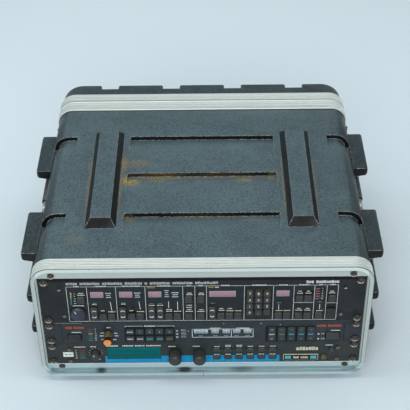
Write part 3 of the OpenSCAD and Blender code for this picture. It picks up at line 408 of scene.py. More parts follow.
# a display window: a smoky tint, paler at the top as a painted reflection, with a smear of dust
def windowPane(name, look):
    look = toned(look)
    made = startMaterial(name)
    coords = objectCoords()
    height = partOf(coords, "Z")
    middle = stackFoot + look["middle"] * mm
    # painted reflection: the tint pales toward the top
    rise = spread(height, middle - look["reach"] * mm, middle + look["reach"] * mm)
    colour = mixTones(rise, look["low"], look["high"])
    colour = layer(colour, look["smear"], patches(120, 6, 0.45, 0.8, 0.0, 0.3, rough=0.7))
    rough = patches(200, 4, 0.3, 0.7, 0.16, 0.3)
    fill(shaderOf(made), {"Base Color": colour, "Roughness": rough, "Specular IOR Level": look["gloss"]})
    return made


# a lamp that is off or faintly lit
def lampLens(name, *shade):
    colour = tone(*shade)
    dim = (*(c * 0.7 for c in colour[:3]), 1.0)
    made = finish(name, surface(shade, dim, 0.25, mottle=300, grain=2500, grainHeight=0.02))
    fill(shaderOf(made), {"Emission Color": colour, "Emission Strength": lampGlow})
    return made


def printInk(name, *shade):
    worn = tuple(c * 0.9 for c in shade)
    return finish(name, surface(shade, worn, 0.55, specular=0.15, mottle=160, grain=2600, grainHeight=0.02))


panelPaint = {"specular": 0.22, "dust": 0.2}
keyPlastic = {"grain": 2000, "grainHeight": 0.04, "wearRadius": 0.6}
knobPlastic = {"grain": 1600, "grainHeight": 0.03, "wearRadius": 0.5}
screwSteel = {"metal": 0.35, "grainHeight": 0.02}
looks = {
    "delay_black": surface((30, 33, 36), (37, 40, 43), 0.5, **panelPaint, grain=1500, grainHeight=0.06,
                           wear=0.5, wearRadius=0.5, wearTone=(120, 122, 122)),
    "middle_blue_grey": surface((42, 49, 54), (49, 56, 61), 0.45, **panelPaint, grain=1800),
    "bottom_black": surface((45, 50, 51), (52, 57, 57), 0.48, **panelPaint, grain=1700),
    "plated_steel": surface((190, 196, 196), (160, 167, 168), 0.3, metal=1.0, grain=700, grainHeight=0.03,
                            dust=0.1, mottle=60),
    "chassis_steel": surface((150, 154, 156), (128, 133, 136), 0.42, metal=0.9, grain=300, grainHeight=0.04,
                             mottle=18, dust=0.35),
    "board_green": surface((38, 82, 48), (30, 70, 42), 0.45, dust=0.3),
    "transformer_iron": surface((96, 88, 76), (70, 64, 56), 0.5, dust=0.3),
    "socket_black": surface((38, 39, 41), (46, 47, 49), 0.42, dust=0.3),
    "key_black": surface((40, 44, 46), (46, 50, 52), 0.42, **keyPlastic, dust=0.85, dustTone=(112, 106, 66),
                         wear=0.4, wearTone=(104, 104, 92)),
    "rocker_black": surface((19, 21, 22), (25, 27, 28), 0.42, **keyPlastic, dust=0.2, wear=0.5,
                            wearTone=(128, 130, 126)),
    "key_grey": surface((34, 40, 44), (40, 46, 50), 0.42, **keyPlastic, dust=0.35, dustTone=(108, 108, 88)),
    "knob_navy": surface((31, 36, 52), (37, 43, 58), 0.36, **knobPlastic, dust=0.35, wear=0.4,
                         wearTone=(96, 100, 118)),
    "knob_black": surface((38, 43, 44), (46, 51, 50), 0.38, **knobPlastic, dust=0.6, dustTone=(94, 102, 88),
                          wear=0.3, wearTone=(96, 98, 84)),
    "knob_gold": surface((112, 106, 78), (92, 86, 62), 0.36, metal=0.4, grain=1400, grainHeight=0.03,
                         mottle=220, dust=0.4, dustTone=(120, 112, 84)),
    "knob_orange": surface((243, 148, 62), (232, 134, 50), 0.4, grain=1800, grainHeight=0.03, mottle=240),
    "knob_bronze": surface((66, 48, 32), (52, 40, 28), 0.34, metal=0.5, grain=1400, grainHeight=0.03,
                           mottle=220),
    "card_cream": surface((206, 204, 176), (186, 184, 158), 0.4, mottle=120),
    "button_olive": surface((88, 84, 58), (72, 68, 48), 0.4, mottle=200),
    "grip_rubber": surface((33, 34, 35), (41, 42, 43), 0.62, grain=900, grainHeight=0.12, dust=0.3),
}
finishes = {name: finish(name, look) for name, look in looks.items()}
# on the screws the edge wear is partly painted glint, and the last number sets the painted reflection on what
# faces down
screwLooks = {
    "cup_steel": surface((44, 41, 38), (72, 67, 60), 0.24, **screwSteel, grain=900, mottle=160, wear=0.8,
                         wearRadius=0.3, wearTone=(232, 222, 204), rubbed=0.85),
    "dark_screw": surface((40, 38, 36), (70, 66, 60), 0.26, **screwSteel, wear=0.9, wearRadius=0.4,
                          wearTone=(226, 216, 198), rubbed=0.8, grain=1500, mottle=200),
    "bronze_screw": surface((104, 88, 66), (76, 64, 48), 0.32, **screwSteel, wear=0.8, wearRadius=0.35,
                            wearTone=(196, 164, 122), rubbed=0.6, grain=1500, mottle=200),
}
finishes.update({name: screwMetal(name, look) for name, look in screwLooks.items()})
finishes["moulded_black"] = shellPlastic("pebbled_case_plastic", 0.8)
lidPlastic = shellPlastic("pebbled_lid_plastic", 0.35)
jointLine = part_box("rear_valance")[1].y
# dark lines round the profiles: the lid's joint, and painted shade along the front lip's edge and in its
# groove; where they start and end, and how strong
lidLines = [(jointLine - 1.2 * mm, jointLine + 1.2 * mm, 0.6)]
frontShadeLines = [(edgeFront - 1 * mm, edgeFront + 1.9 * mm, 0.85),
              (panelFace + 0.6 * mm, panelFace + 2.4 * mm, 0.3)]
finishes["edge_aluminium"] = edgeAluminium("satin_aluminium", lidLines)
frontAluminium = edgeAluminium("satin_front_aluminium", frontShadeLines, True)
windowLooks = {
    "window_mauve": {"low": (148, 124, 134), "high": (172, 146, 155), "smear": (186, 172, 179),
                     "middle": 145.6, "reach": 7, "gloss": 0.3},
    "window_blue": {"low": (112, 136, 150), "high": (206, 222, 230), "smear": (206, 220, 226), "middle": 67,
                    "reach": 5, "gloss": 0.3},
    "window_teal": {"low": (3, 96, 100), "high": (0, 104, 106), "smear": (10, 108, 110), "middle": 21,
                    "reach": 12, "gloss": 0.06},
}
finishes.update({name: windowPane(name, look) for name, look in windowLooks.items()})
inkLooks = {
    "white": ("white_ink", 226, 229, 226), "pale": ("pale_ink", 196, 202, 200),
    "grey": ("grey_ink", 168, 174, 174), "cyan": ("cyan_ink", 84, 178, 196),
    "olive": ("olive_ink", 138, 132, 70), "blue": ("blue_ink", 22, 146, 196),
    "cream": ("cream_ink", 214, 212, 182), "dark": ("dark_ink", 20, 21, 23),
    "slate": ("slate_ink", 37, 46, 52), "moss": ("moss_ink", 84, 80, 52),
    "orange": ("orange_ink", 184, 88, 54), "yellow": ("yellow_ink", 176, 160, 62),
    "sticker": ("sticker_paper", 226, 232, 226), "ghost": ("display_segment", 160, 106, 116),
    "dots": ("display_dots", 4, 82, 86), "shade": ("window_legend", 76, 92, 102),
    "well": ("key_well", 27, 31, 34),
}
inks = {name: printInk(*look) for name, look in inkLooks.items()}
lampLooks = {
    "red": ("red_lamp", 124, 52, 56), "green": ("green_lamp", 52, 110, 82),
    "amber": ("amber_lamp", 176, 166, 128), "teal": ("teal_lamp", 64, 122, 128),
    "lime": ("lime_lamp", 150, 164, 126), "rose": ("rose_lamp", 140, 92, 96),
}
lamps = {name: lampLens(*look) for name, look in lampLooks.items()}
print("finishes made:", len(finishes) + len(inks) + len(lamps))


# pieces
def addObject(name, data):
    made = bpy.data.objects.new(name, data)
    bpy.context.scene.collection.objects.link(made)
    return made


def meshData(name, mesh):
    data = bpy.data.meshes.new(name)
    mesh.to_mesh(data)
    mesh.free()
    return data


# a node's solid with its doubled vertices joined
def solidMesh(name):
    mesh = bmesh.new()
    mesh.from_mesh(nodes[name].data)
    bmesh.ops.remove_doubles(mesh, verts=mesh.verts, dist=joinReach)
    return mesh


def finishPiece(name, mesh, material, body, smooth=None):
    data = meshData(name, mesh)
    data.materials.append(material)
    if smooth is not None:
        data.shade_smooth()
        data.set_sharp_from_angle(angle=math.radians(smooth))
    made = addObject(name, data)
    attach(made, body)
    return made


# a copy of a solid with its triangles joined into faces and its sharp edges rounded
def dressNode(name, width, segments=2, weights=None, clamp=False):
    mesh = solidMesh(name)
    bmesh.ops.dissolve_limit(mesh, angle_limit=math.radians(0.5), verts=mesh.verts, edges=mesh.edges)
    if weights is not None:
        layer = mesh.edges.layers.float.new("bevel_weight_edge")
        for edge in mesh.edges:
            if edge.is_manifold and edge.calc_face_angle(0) > math.radians(25):
                edge[layer] = weights((edge.verts[0].co + edge.verts[1].co) / 2)
    made = finishPiece(name + "_look", mesh, finishes[slotOf[name]], nodes[name]["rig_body"])
    made.data.shade_smooth()
    soften = made.modifiers.new("rounded_edges", "BEVEL")
    soften.width = width * mm
    soften.segments = segments
    soften.limit_method = "WEIGHT" if weights else "ANGLE"
    soften.angle_limit = math.radians(30)
    soften.harden_normals = True
    soften.use_clamp_overlap = clamp
    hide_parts(name)
    return made


# the separate solids of a node, as boxes in rows from the top left
def looseParts(name):
    mesh = solidMesh(name)
    left = set(mesh.verts)
    boxes = []
    while left:
        queue = [left.pop()]
        points = []
        while queue:
            vert = queue.pop()
            points.append(vert.co.copy())
            for edge in vert.link_edges:
                other = edge.other_vert(vert)
                if other in left:
                    left.remove(other)
                    queue.append(other)
        boxes.append((Vector(map(min, zip(*points))), Vector(map(max, zip(*points)))))
    mesh.free()
    return sorted(boxes, key=lambda box: (-round(box[0].z, 4), box[0].x))


# a solid's middle on the panels, in mm
def spotOf(box):
    middle = (box[0] + box[1]) / 2
    return middle.x / mm, (middle.z - stackFoot) / mm


# the case
dressNode("case_shell", 1.2, 2, clamp=True)
dressNode("rear_lid", 2.6, 3, clamp=True).data.materials[0] = lidPlastic
edgeLow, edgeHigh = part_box("front_valance")
edgeMiddle, edgeHalf = (edgeLow + edgeHigh) / 2, (edgeHigh - edgeLow) / 2
edgeCorner = 29 * mm


# the frame's outer front edge is well rounded, the others less
def lipRounding(at):
    across = max(abs(at.x - edgeMiddle.x) - edgeHalf.x + edgeCorner, 0)
    upward = max(abs(at.z - edgeMiddle.z) - edgeHalf.z + edgeCorner, 0)
    outer = math.hypot(across, upward) > edgeCorner - 3 * mm
    return 1.0 if outer and at.y < edgeFront + 1 * mm else 0.35


dressNode("front_valance", 1.6, 3, lipRounding).data.materials[0] = frontAluminium
for name in ("rear_valance", "lid_valance"):
    dressNode(name, 0.6, 2)
# how far edges are rounded, in mm: the case's metal and grips, then the units' panels, windows and controls
edgeWidths = {
    "rack_rails": 0.5, "rack_screws": 0.35, "cup_washers": 0.2, "corner_screws": 0.3, "latch_keepers": 0.4,
    "handle_plates": 0.6, "latch_plates": 0.4, "bail_right": 0.3, "bail_left": 0.3, "grip_right": 1.0,
    "grip_left": 1.0, "latch_wing_right_low": 0.6, "latch_wing_right_high": 0.6, "latch_wing_left_low": 0.6,
    "latch_wing_left_high": 0.6,
    "delay_panel": 0.3, "middle_panel": 0.3, "bottom_panel": 0.3, "delay_windows": 0.25,
    "middle_windows": 0.25, "bottom_display": 0.3, "card_slot": 0.3, "delay_chassis": 0.3,
    "delay_cover": 0.3, "middle_chassis": 0.3, "bottom_chassis": 0.3, "rear_sockets": 0.4, "level_knob": 0.5,
    "dual_knob_outer": 0.5, "dual_knob_inner": 0.5, "trim_knob": 0.4, "value_wheel_left": 0.4,
    "value_wheel_right": 0.4, "eject_button": 0.6, "power_button": 0.6, "oval_keys": 0.6, "keypad": 0.4,
    "step_keys": 0.45, "mode_keys": 0.45, "memory_keys": 0.45, "store_keys": 0.45, "bypass_keys": 0.45,
    "programme_keys": 0.35, "parameter_keys": 0.35, "input_rocker": 0.5, "middle_power_rocker": 0.5,
    "power_rocker": 0.5,
}
for name, width in edgeWidths.items():
    dressNode(name, width)
for name in ("input_rocker", "power_rocker"):
    bpy.data.objects[name + "_look"].data.materials[0] = finishes["rocker_black"]
for count in range(1, 6):
    dressNode(f"step_rocker_{count}", 0.5)
# boards and transformer are closed in, and keep their plain solids
for name in ("delay_boards", "delay_transformer", "slim_boards"):
    nodes[name].data.materials.clear()
    nodes[name].data.materials.append(finishes[slotOf[name]])
print("solids dressed")

# printed marks, gathered by colour and by what they move with
marks = {}
# height of small numbers, how far out the keys' faces are, and how thick lamps and flat films are, in mm
numberSize, keyFace, lampThick, filmThick = 3.2, 2.5, 0.35, 0.05


def sheetFor(ink, body):
    return marks.setdefault((ink, body), bmesh.new())


def addBar(ink, x, z, w, h, out=0.0, body="case", turn=0.0, tilt=0.0, thick=0.14):
    place = Matrix.Translation(onPanel(x, z, out)) @ turned(tilt, "X") @ turned(turn, "Y")
    place = place @ Matrix.Diagonal((w * mm, 2 * thick * mm, h * mm, 1))
    bmesh.ops.create_cube(sheetFor(ink, body), size=1.0, matrix=place)


def addField(ink, left, right, low, high, thick):
    addBar(ink, (left + right) / 2, (low + high) / 2, right - left, high - low, thick=thick)


def addOutline(ink, left, right, low, high, line):
    for z in (low, high):
        addBar(ink, (left + right) / 2, z, right - left + line, line)
    for x in (left, right):
        addBar(ink, x, (low + high) / 2, line, high - low + line)


def addDot(ink, x, z, size, thick):
    place = Matrix.Translation(onPanel(x, z)) @ turned(90, "X")
    bmesh.ops.create_cone(sheetFor(ink, "case"), cap_ends=True, segments=14, radius1=size / 2 * mm,
                          radius2=size / 2 * mm * 0.8, depth=2 * thick * mm, matrix=place)


def addChevron(ink, x, z, size, up, out, body, tilt):
    for side in (-1, 1):
        addBar(ink, x + side * size * 0.3, z, size * 0.78, size * 0.26, out, body, 38 * side * up, tilt)


def addWords(ink, words, x, z, size, out=0.0, body="case"):
    curve = bpy.data.curves.new("words", "FONT")
    curve.body = words
    curve.size = size * mm
    curve.align_x = "CENTER"
    curve.align_y = "CENTER"
    curve.extrude = 0.1 * mm
    curve.resolution_u = 2
    text = addObject("words", curve)
    bpy.context.view_layer.update()
    flat = bpy.data.meshes.new_from_object(text.evaluated_get(bpy.context.evaluated_depsgraph_get()))
    flat.transform(Matrix.Translation(onPanel(x, z, out)) @ turned(90, "X"))
    sheetFor(ink, body).from_mesh(flat)
    bpy.data.objects.remove(text)
    bpy.data.curves.remove(curve)
    bpy.data.meshes.remove(flat)


def addTicks(ink, x, z, near, far, count, sweep, line):
    for step in range(count):
        turn = sweep * (step / (count - 1) - 0.5)
        addBar(ink, *around(x, z, (near + far) / 2, turn), line, far - near, turn=turn)


def addSegments(ink, x, z, w, h, out):
    line = w * 0.16
    for row in (-1, 0, 1):
        addBar(ink, x, z + row * (h - line) / 2, w - 2 * line, line, out, thick=0.04)
    for side in (-1, 1):
        for row in (-1, 1):
            addBar(ink, x + side * (w - line) / 2, z + row * h / 4, line, h / 2 - line, out, thick=0.04)


# a window's dark digits, a little behind its face
def addDigits(ink, box, digits, step, w, h):
    x, z = spotOf(box)
    for place in range(digits):
        addSegments(ink, x + (place - (digits - 1) / 2) * step, z, w, h, -0.4)


# plain blocks in the place of lettering, a group for each count in words
def addBlocks(ink, left, right, z, height, words, out=0.0, body="case"):
    step = (right - left) / (sum(words) + 0.8 * (len(words) - 1))
    x = left
    for count in words:
        for place in range(count):
            tall = height * (1.0, 0.82, 0.94)[(place + count) % 3]
            middle, foot = x + (place + 0.5) * step, z - (height - tall) / 2
            if height < 3:
                addBar(ink, middle, foot, step * 0.72, tall, out, body)
                continue
            # tall blocks are hollow
            wide, line = step * 0.8, height * 0.24
            for side in (-1, 1):
                addBar(ink, middle + side * (wide - line) / 2, foot, line, tall, out, body)
                if (place + side) % 3:
                    addBar(ink, middle, foot + side * (tall - line) / 2, wide - 2 * line, line, out, body)
        x += (count + 0.8) * step


# a plain label round its middle, in blocks about as wide as each says
def addLabel(ink, x, z, wide, height, each, out=0.0, body="case"):
    addBlocks(ink, x - wide / 2, x + wide / 2, z, height, (round(wide / each),), out, body)


# the delay's panel: sections, plain captions and labels, lamps and key legends
delayPrint = {
    "frame": (-200.6, 200.4, 91.4, 162.4), "line": 0.8,
    "dividers": [-170.5, -127.7, -84.5, -28.8, -11, 6.2, 62.2, 105, 135.5, 165.7, 183.8],
    "halves": [(135.5, 165.7, 127), (183.8, 201.3, 126)],
    "header": (-200.6, 23.4, 168.6, 4.6, (4, 7, 7, 6, 1, 7, 7, 8)), "name": (152.5, 201, 168.9, 5.0, (3, 9)),
    # middle and width of each section's caption
    "captions": [(-185.5, 9), (-149.2, 16), (-105, 27), (-56.6, 20), (-19.9, 7), (-2.4, 8), (34, 14),
                 (83.9, 22), (119.5, 13), (150, 16), (174.7, 6), (192.1, 8)],
    # dark panes behind the windows and their legends
    "panes": [(-168.4, -129.6), (-125.6, -86.4), (-82.4, -30.6), (8.4, 60.2), (107, 133.6)],
    "paneFoot": 133.2, "paneHead": 157.6,
    # legends beside the windows: middle, width, and the rows' heights
    "legends": [(-139.2, 9, (149, 144.8, 140.8)), (-96.2, 9.5, (149.2, 145, 140.9)),
                (-52.8, 7, (153.6, 149.6, 145.4, 141.4)), (-40.2, 11, (149.3, 145.2, 141))],
    # fine lines from a window down to a key: x at the head and foot, and their heights
    "stalks": [(-137.2, -135.8, 131.6, 113.4), (-94.6, -93, 131.6, 115.6), (-50.4, -50.4, 131.2, 118),
               (-37.1, -37.1, 131, 113.4), (113.7, 113.7, 123.2, 113.6), (174.8, 175.1, 123.6, 113.4)],
    # plain labels: middle, height over the panels' foot, width
    "labels": [(-179.8, 149.3, 8), (-179.6, 145.6, 11), (-185.2, 124.1, 17), (-160.9, 126.6, 7),
               (-117.8, 126.8, 7), (-149.5, 113.3, 6), (-136, 111, 11), (-106.5, 113.3, 6), (-93, 111, 11),
               (-76, 123.6, 9), (-63.4, 123.6, 9), (-50.2, 114.6, 9), (-50.2, 111, 9), (-37.5, 110.9, 11),
               (-19.1, 148.2, 7), (-19.1, 145.2, 9), (-20, 123.2, 8), (-20.2, 118.9, 8), (-20, 114.4, 7),
               (-20, 110.6, 11), (-1.6, 148, 7), (-1.6, 145, 9),
               (-1.9, 113.9, 7), (-2.4, 110.2, 11), (28.1, 116, 6), (28.3, 112.4, 9), (40.8, 116, 7),
               (41, 111.4, 11), (53.3, 111.2, 9), (114.4, 110.9, 10), (126.4, 110.7, 10), (144.2, 150.2, 5),
               (144.3, 146.2, 9), (156.7, 150.2, 5), (156.8, 146.2, 9), (144.2, 114.9, 6), (144, 111.3, 10),
               (157, 114.9, 6), (157, 111.3, 10), (175, 110, 10), (191.8, 150, 6), (191.9, 146.4, 9)],
    "teal": [(-160.9, 128.9), (-117.8, 129.1), (-76, 127), (-63.4, 127), (15.4, 127.3), (113.9, 127.2),
             (174.4, 128)],
    # small marks over the windows and the keypad: middle, height, width
    "yellow": [(-75.5, 159.6, 12), (13, 159.6, 8)],
    "moss": [(70.9, 154.1, 9), (83.7, 154, 9), (96.5, 153.9, 9)], "windowMark": (21.5, 159.4, 6),
    # columns of lamps and numbers: x and height of the first, and the step down
    "levels": (-194.6, 149.6, 2.8), "levelNumbers": (-189.6, 148.4, 4.9), "factors": (170.4, 155, 4.95),
    # a digit's step, width and height, and the shaded gap over the panel
    "digit": (5.9, 3.7, 8.4), "gap": (0, 175.3, 452, 4.6),
    "smallScrews": [(-211.2, 157.6), (211.2, 157.6), (-207.5, 103.6), (207.5, 103.6)],
}


def printDelay():
    look = delayPrint
    left, right, low, high = look["frame"]
    line = look["line"]
    edges = [left, *look["dividers"], right]
    addBar("pale", (left + right) / 2, low, right - left + line, line)
    for x in edges:
        addBar("pale", x, (low + high) / 2, line, high - low + line)
    for x0, x1, z in look["halves"]:
        addBar("pale", (x0 + x1) / 2, z, x1 - x0, line)
    # the top line is broken by a caption over each section
    for (x0, x1), (middle, wide) in zip(zip(edges, edges[1:]), look["captions"]):
        addLabel("white", middle, high + 0.7, wide, 2.2, 2)
        for start, end in ((x0, middle - wide / 2 - 1), (middle + wide / 2 + 1, x1)):
            addBar("pale", (start + end) / 2, high, end - start + line, line)
    # a dark strip of painted shade in the gap over the panel
    addBar("dark", *look["gap"], thick=filmThick)
    for ink, place in (("pale", "header"), ("white", "name")):
        addBlocks(ink, *look[place])
    foot, head = look["paneFoot"], look["paneHead"]
    windows = sorted(looseParts("delay_windows"), key=lambda box: box[0].x)
    for (x0, x1), (near, far) in zip(look["panes"], windows):
        start, end = near.x / mm, far.x / mm
        under, over = (near.z - stackFoot) / mm, (far.z - stackFoot) / mm
        for xa, xb, za, zb in ((x0, start, foot, head), (end, x1, foot, head), (start, end, foot, under),
                               (start, end, over, head)):
            addField("slate", xa, xb, za, zb, filmThick)
    for x, wide, rows in look["legends"]:
        for count, z in enumerate(rows):
            short = wide * (1, 0.7, 0.85)[count % 3]
            addLabel("white", x, z, short, 1.6, 1.6)
    for head, foot, top, end in look["stalks"]:
        lean = math.degrees(math.atan2(head - foot, top - end))
        addBar("white", (head + foot) / 2, (top + end) / 2, 0.8, top - end, turn=lean)
    for label in look["labels"]:
        addLabel("white", *label, 1.7, 1.7)
    for x, z in look["teal"]:
        addBar("teal", x, z, 6.4, 1.5, thick=0.2)
    for box in looseParts("delay_windows"):
        addDigits("ghost", box, 6 if box[1].x - box[0].x > 30 * mm else 3, *look["digit"])
    for ink in ("yellow", "moss"):
        for label in look[ink]:
            addLabel(ink, *label, 1.8, 1.8)
    addLabel("white", *look["windowMark"], 1.8, 1.5)
    # lamps with their numbers
    x, z, step = look["levels"]
    for row in range(9):
        colour = "amber" if row < 2 else "lime" if row < 4 else "teal"
        addBar(colour, x - row * 0.08, z - row * step, 2.2, 2.0, thick=lampThick)
    x, z, step = look["levelNumbers"]
    for row, number in enumerate(("0", "6", "12", "24", "40")):
        addWords("white", number, x, z - row * step, numberSize)
    x, z, step = look["factors"]
    for row, number in enumerate(("2", "4", "8", "16", "32")):
        addBar("rose", x, z - row * step, 6.4, 1.9, thick=lampThick)
        addWords("white", number, x + 7, z - row * step, numberSize)
    # numbers on the keypad and arrows on the rockers
    for number, box in zip("7894561230.", looseParts("keypad")):
        x, z = spotOf(box)
        addWords("white", number, x, z, 7.0, keyFace, "keypad")
    for count in range(1, 6):
        body = f"step_rocker_{count}"
        x, z = spotOf(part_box(body))
        for up in (1, -1):
            addChevron("white", x, z + 6.4 * up, 5.0, up, 2.56, body, 4.2 * up)


# the middle unit: lamp ladder, scale round the knob, key legends and the display's frame
middlePrint = {
    "ladder": (-171.2, 73.8, 4.6), "display": (-16.2, 76.6, 55.2, 72.6), "divider": 43.4,
    "bracket": (-118, -43.6, 80.2), "bracketGap": 20, "bracketLine": 0.6,
    "wells": [(-119.4, -43.2, 46.2, 77.8), (95.4, 171.2, 44.8, 77.4)],
    "names": [(-209, -180.6, 77.9, 4.8, (4, 6)), (173.4, 210.2, 78.2, 4.8, (4, 6))],
    "scale": [(-143.3, 77.6, 7), (-143.3, 69.6, 4), (-153.4, 66.1, 5), (-154.6, 60, 6), (-132.9, 65.2, 5),
              (-132, 59.8, 6), (-153.4, 52, 5), (-135.2, 51.8, 5)],
    "labels": [(-192.8, 67.9, 15.5), (201.7, 67.9, 14), (19, 74.6, 16), (60.9, 74.4, 20)],
    "lamps": [(-39.5, 69.6), (-39.2, 62.8), (-39.4, 56.1)],
    "specks": [(-22.1, 68.1), (31.8, 84), (88.5, 83.6), (117.6, 80.6)],
    # a digit's step, width and height, the power switch's marks, and a grey line and dark lines near the
    # panel's edges
    "digit": (5.2, 3.2, 6.2), "switch": [(60.6, "ON"), (50, "OFF")], "switchAt": 176.5,
    "greyLine": (-203, 87.6, 40, 0.5), "sideLine": (215, 64.6, 0.8, 39), "topLine": (220, 84.2, 10, 0.8),
}


def printMiddle():
    look = middlePrint
    x0, z0, step = look["ladder"]
    for row, colour in enumerate(("red", "red", "amber", "green", "green", "teal")):
        addBar(colour, x0 - row * 0.12, z0 - row * step, 6.0, 1.7, thick=lampThick)
        addWords("white", str(row * 6), x0 + 7.4, z0 - row * step, numberSize)
    for label in look["scale"] + look["labels"]:
        addLabel("white", *label, 1.9, 1.6)
    for name in look["names"]:
        addBlocks("orange", *name)
    for well in look["wells"]:
        addField("well", *well, filmThick)
    left, right, z = look["bracket"]
    middle, line = (left + right) / 2, look["bracketLine"]
    for x in (left, right):
        addBar("white", x, z - 1.2, line, 2.4)
    for x, side in ((left, -1), (right, 1)):
        inner = middle + side * look["bracketGap"] / 2
        addBar("white", (x + inner) / 2, z, abs(x - inner), line)
    addLabel("white", middle, z, 17.2, 2.4, 2.2)
    keyInks = ("white",) * 7 + ("cyan", "cyan", "olive")
    for count, box in enumerate(looseParts("programme_keys")):
        x, z = spotOf(box)
        if 0 < count < 5:
            addWords(keyInks[count], str(count), x, z, 4.2, keyFace, "programme_keys")
        else:
            addLabel(keyInks[count], x, z, 9.2, 2.0, 1.5, keyFace, "programme_keys")
    for x, z in look["lamps"]:
        addBar("grey", x, z, 3.2, 3.2, thick=0.3)
        for row in (-1, 1):
            addBlocks("grey", x + 6, x + 13.5 - row, z + 1.2 * row + 1, 1.4, (5,))
    for x, z in look["specks"]:
        addDot("white", x, z, 1.5, 0.1)
    left, right, low, high = look["display"]
    addOutline("white", left, right, low, high, 0.8)
    addBar("white", look["divider"], (low + high) / 2, 0.8, high - low)
    for box in looseParts("middle_windows"):
        addLabel("grey", spotOf(box)[0], low + 2.9, 6.8, 1.4, 1.4)
        addDigits("shade", box, 3 if box[1].x - box[0].x > 15 * mm else 2, *look["digit"])
    for count, box in enumerate(looseParts("parameter_keys")):
        x, z = spotOf(box)
        ink = ("white", "olive", "cyan", "cyan", "cyan")[count]
        for up in (1, -1):
            addChevron(ink, x, z + 9.6 * up, 2.6, up, keyFace, "parameter_keys", 0)
        addLabel(ink, x, z, 8, 2.0, 1.6, keyFace, "parameter_keys")
    x = look["switchAt"]
    for z, words in look["switch"]:
        addBar("white", x, z, 2.4, 2.4, thick=0.2)
        addWords("white", words, x + 6.9, z, 3.6)
    addBar("grey", *look["greyLine"], thick=0.1)
    for side in (-1, 1):
        for x, z, w, h in (look["sideLine"], look["topLine"]):
            addBar("dark", side * x, z, w, h, thick=0.1)


# the bottom unit: sticker, lamp meter, knob scales, the blue stripe and key labels
bottomPrint = {"sticker": (-209.2, 19.5, 15.8, 10.2), "stripe": (-152.2, 118.4, 0.4, 15),
               "meter": (-187.4, 28.4, 4.2),
               "header": [(-149.6, -131, (8,)), (-125, -65, (7, 6, 9))],
               "name": (143.4, 177.8, 28.8, 7.4, (7,)), "headerAt": 37.7, "headerHigh": 2.5,
               # ticks round the knob: near and far end, count, sweep in degrees, line
               "ticks": (9.2, 10.8, 11, 280, 0.5),
               # the display's first dots and their steps, the card slot's ends and name, the power label
               "dots": (-107, 25.5, 3.8, 8.6), "cardEnds": [(131.6, 10.7), (170.9, 10.7)],
               "cardName": (139.6, 163, 10.7, 4.6, (3, 4)), "power": (194.3, 36, 11.4),
               "bronzeScrews": [(-206.8, 31.5), (-206.7, 5.8), (208.1, 31.4), (207.9, 6.3)]}


def printBottom():
    look = bottomPrint
    x, z, w, h = look["sticker"]
    addBar("sticker", x, z, w, h, thick=0.16)
    addBlocks("shade", x - 5, x + 5, z, 2.2, (3, 3), 0.1)
    x0, z0, step = look["meter"]
    addBlocks("white", x0 - 11.6, x0 + 6.1, z0 + 7.5, 1.9, (10,))
    for row, number in enumerate(("0", "6", "12", "18", "24")):
        addWords("white", number, x0 - 9.4, z0 - row * step, numberSize)
        addBar("red" if row < 2 else "green" if row < 4 else "teal", x0, z0 - row * step, 8.6, 1.5, thick=0.3)
    trimX, trimZ = spotOf(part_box("trim_knob"))
    addTicks("white", trimX, trimZ, *look["ticks"])
    for turn, reach in ((-160, 15.6), (160, 15)):
        addBar("white", *around(trimX, trimZ, reach, turn), 2.6, 1.4)
    addBlocks("white", trimX - 8, trimX + 1, trimZ + 13.7, 1.9, (5,))
    # the stripe breaks off round the display
    left, right, low, high = look["stripe"]
    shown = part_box("bottom_display")
    paneLeft, paneRight = shown[0].x / mm - 1.2, shown[1].x / mm + 1.2
    paneLow = (shown[0].z - stackFoot) / mm - 1.2
    for x0, x1, z1 in ((left, paneLeft, high), (paneLeft, paneRight, paneLow), (paneRight, right, high)):
        addField("blue", x0, x1, low, z1, 0.08)
    for start, end, words in look["header"]:
        addBlocks("white", start, end, look["headerAt"], look["headerHigh"], words)
    addBlocks("cream", *look["name"])
    x0, z0, across, down = look["dots"]
    for row in range(2):
        for column in range(20):
            for dot in range(3):
                x, z = x0 + (column - 9.5) * across, z0 - row * down + (dot - 1) * 2
                addBar("dots", x, z, 2.6, 1.5, -0.4, thick=0.03)
    for name in ("value_wheel_left", "value_wheel_right"):
        x, z = spotOf(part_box(name))
        addBlocks("white", x - 10.6, x + 1, z + 14.6, 1.9, (7,))
    for count, box in enumerate(looseParts("oval_keys")):
        x, z = spotOf(box)
        for rise in (5.8, 8.4) if count in (1, 2) else (5.8,):
            addLabel("white", x, z + rise, 8.8, 1.7, 1.8)
    # the card slot's field and its two bright ends
    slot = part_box("card_slot")
    proud = (panelFace - slot[0].y) / mm
    x, z = spotOf(slot)
    span = (slot[1] - slot[0]) / mm
    addBar("well", x, z, span.x - 1.4, span.z - 1.4, proud, thick=filmThick)
    for spot in look["cardEnds"]:
        addBar("cyan", *spot, 9.4, 6.4, proud)
    addBlocks("cream", *look["cardName"], proud)
    addLabel("white", *look["power"], 1.9, 1.9)


printDelay()
printMiddle()
printBottom()

# pointers on the knobs: reach, width, length, how far out, turn, ink
knobMarks = {"level_knob": (7.6, 1.0, 5.0, 5.5, -28, "white"),
             "trim_knob": (4.6, 0.9, 3.8, 11.0, -30, "white"),
             "dual_knob_inner": (2.4, 0.9, 3.0, 21.05, 0, "dark"),
             "dual_knob_outer": (4.4, 0.8, 1.8, 11.0, -30, "white")}
for name, (reach, w, h, out, turn, ink) in knobMarks.items():
    x, z = spotOf(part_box(name))
    addBar(ink, *around(x, z, reach, turn), w, h, out, name, turn)
for (ink, body), mesh in marks.items():
    bmesh.ops.recalc_face_normals(mesh, faces=mesh.faces)
    material = inks.get(ink) or lamps[ink]
    finishPiece(f"marks_{ink}_{body}", mesh, material, body)
print("marks printed:", len(marks))

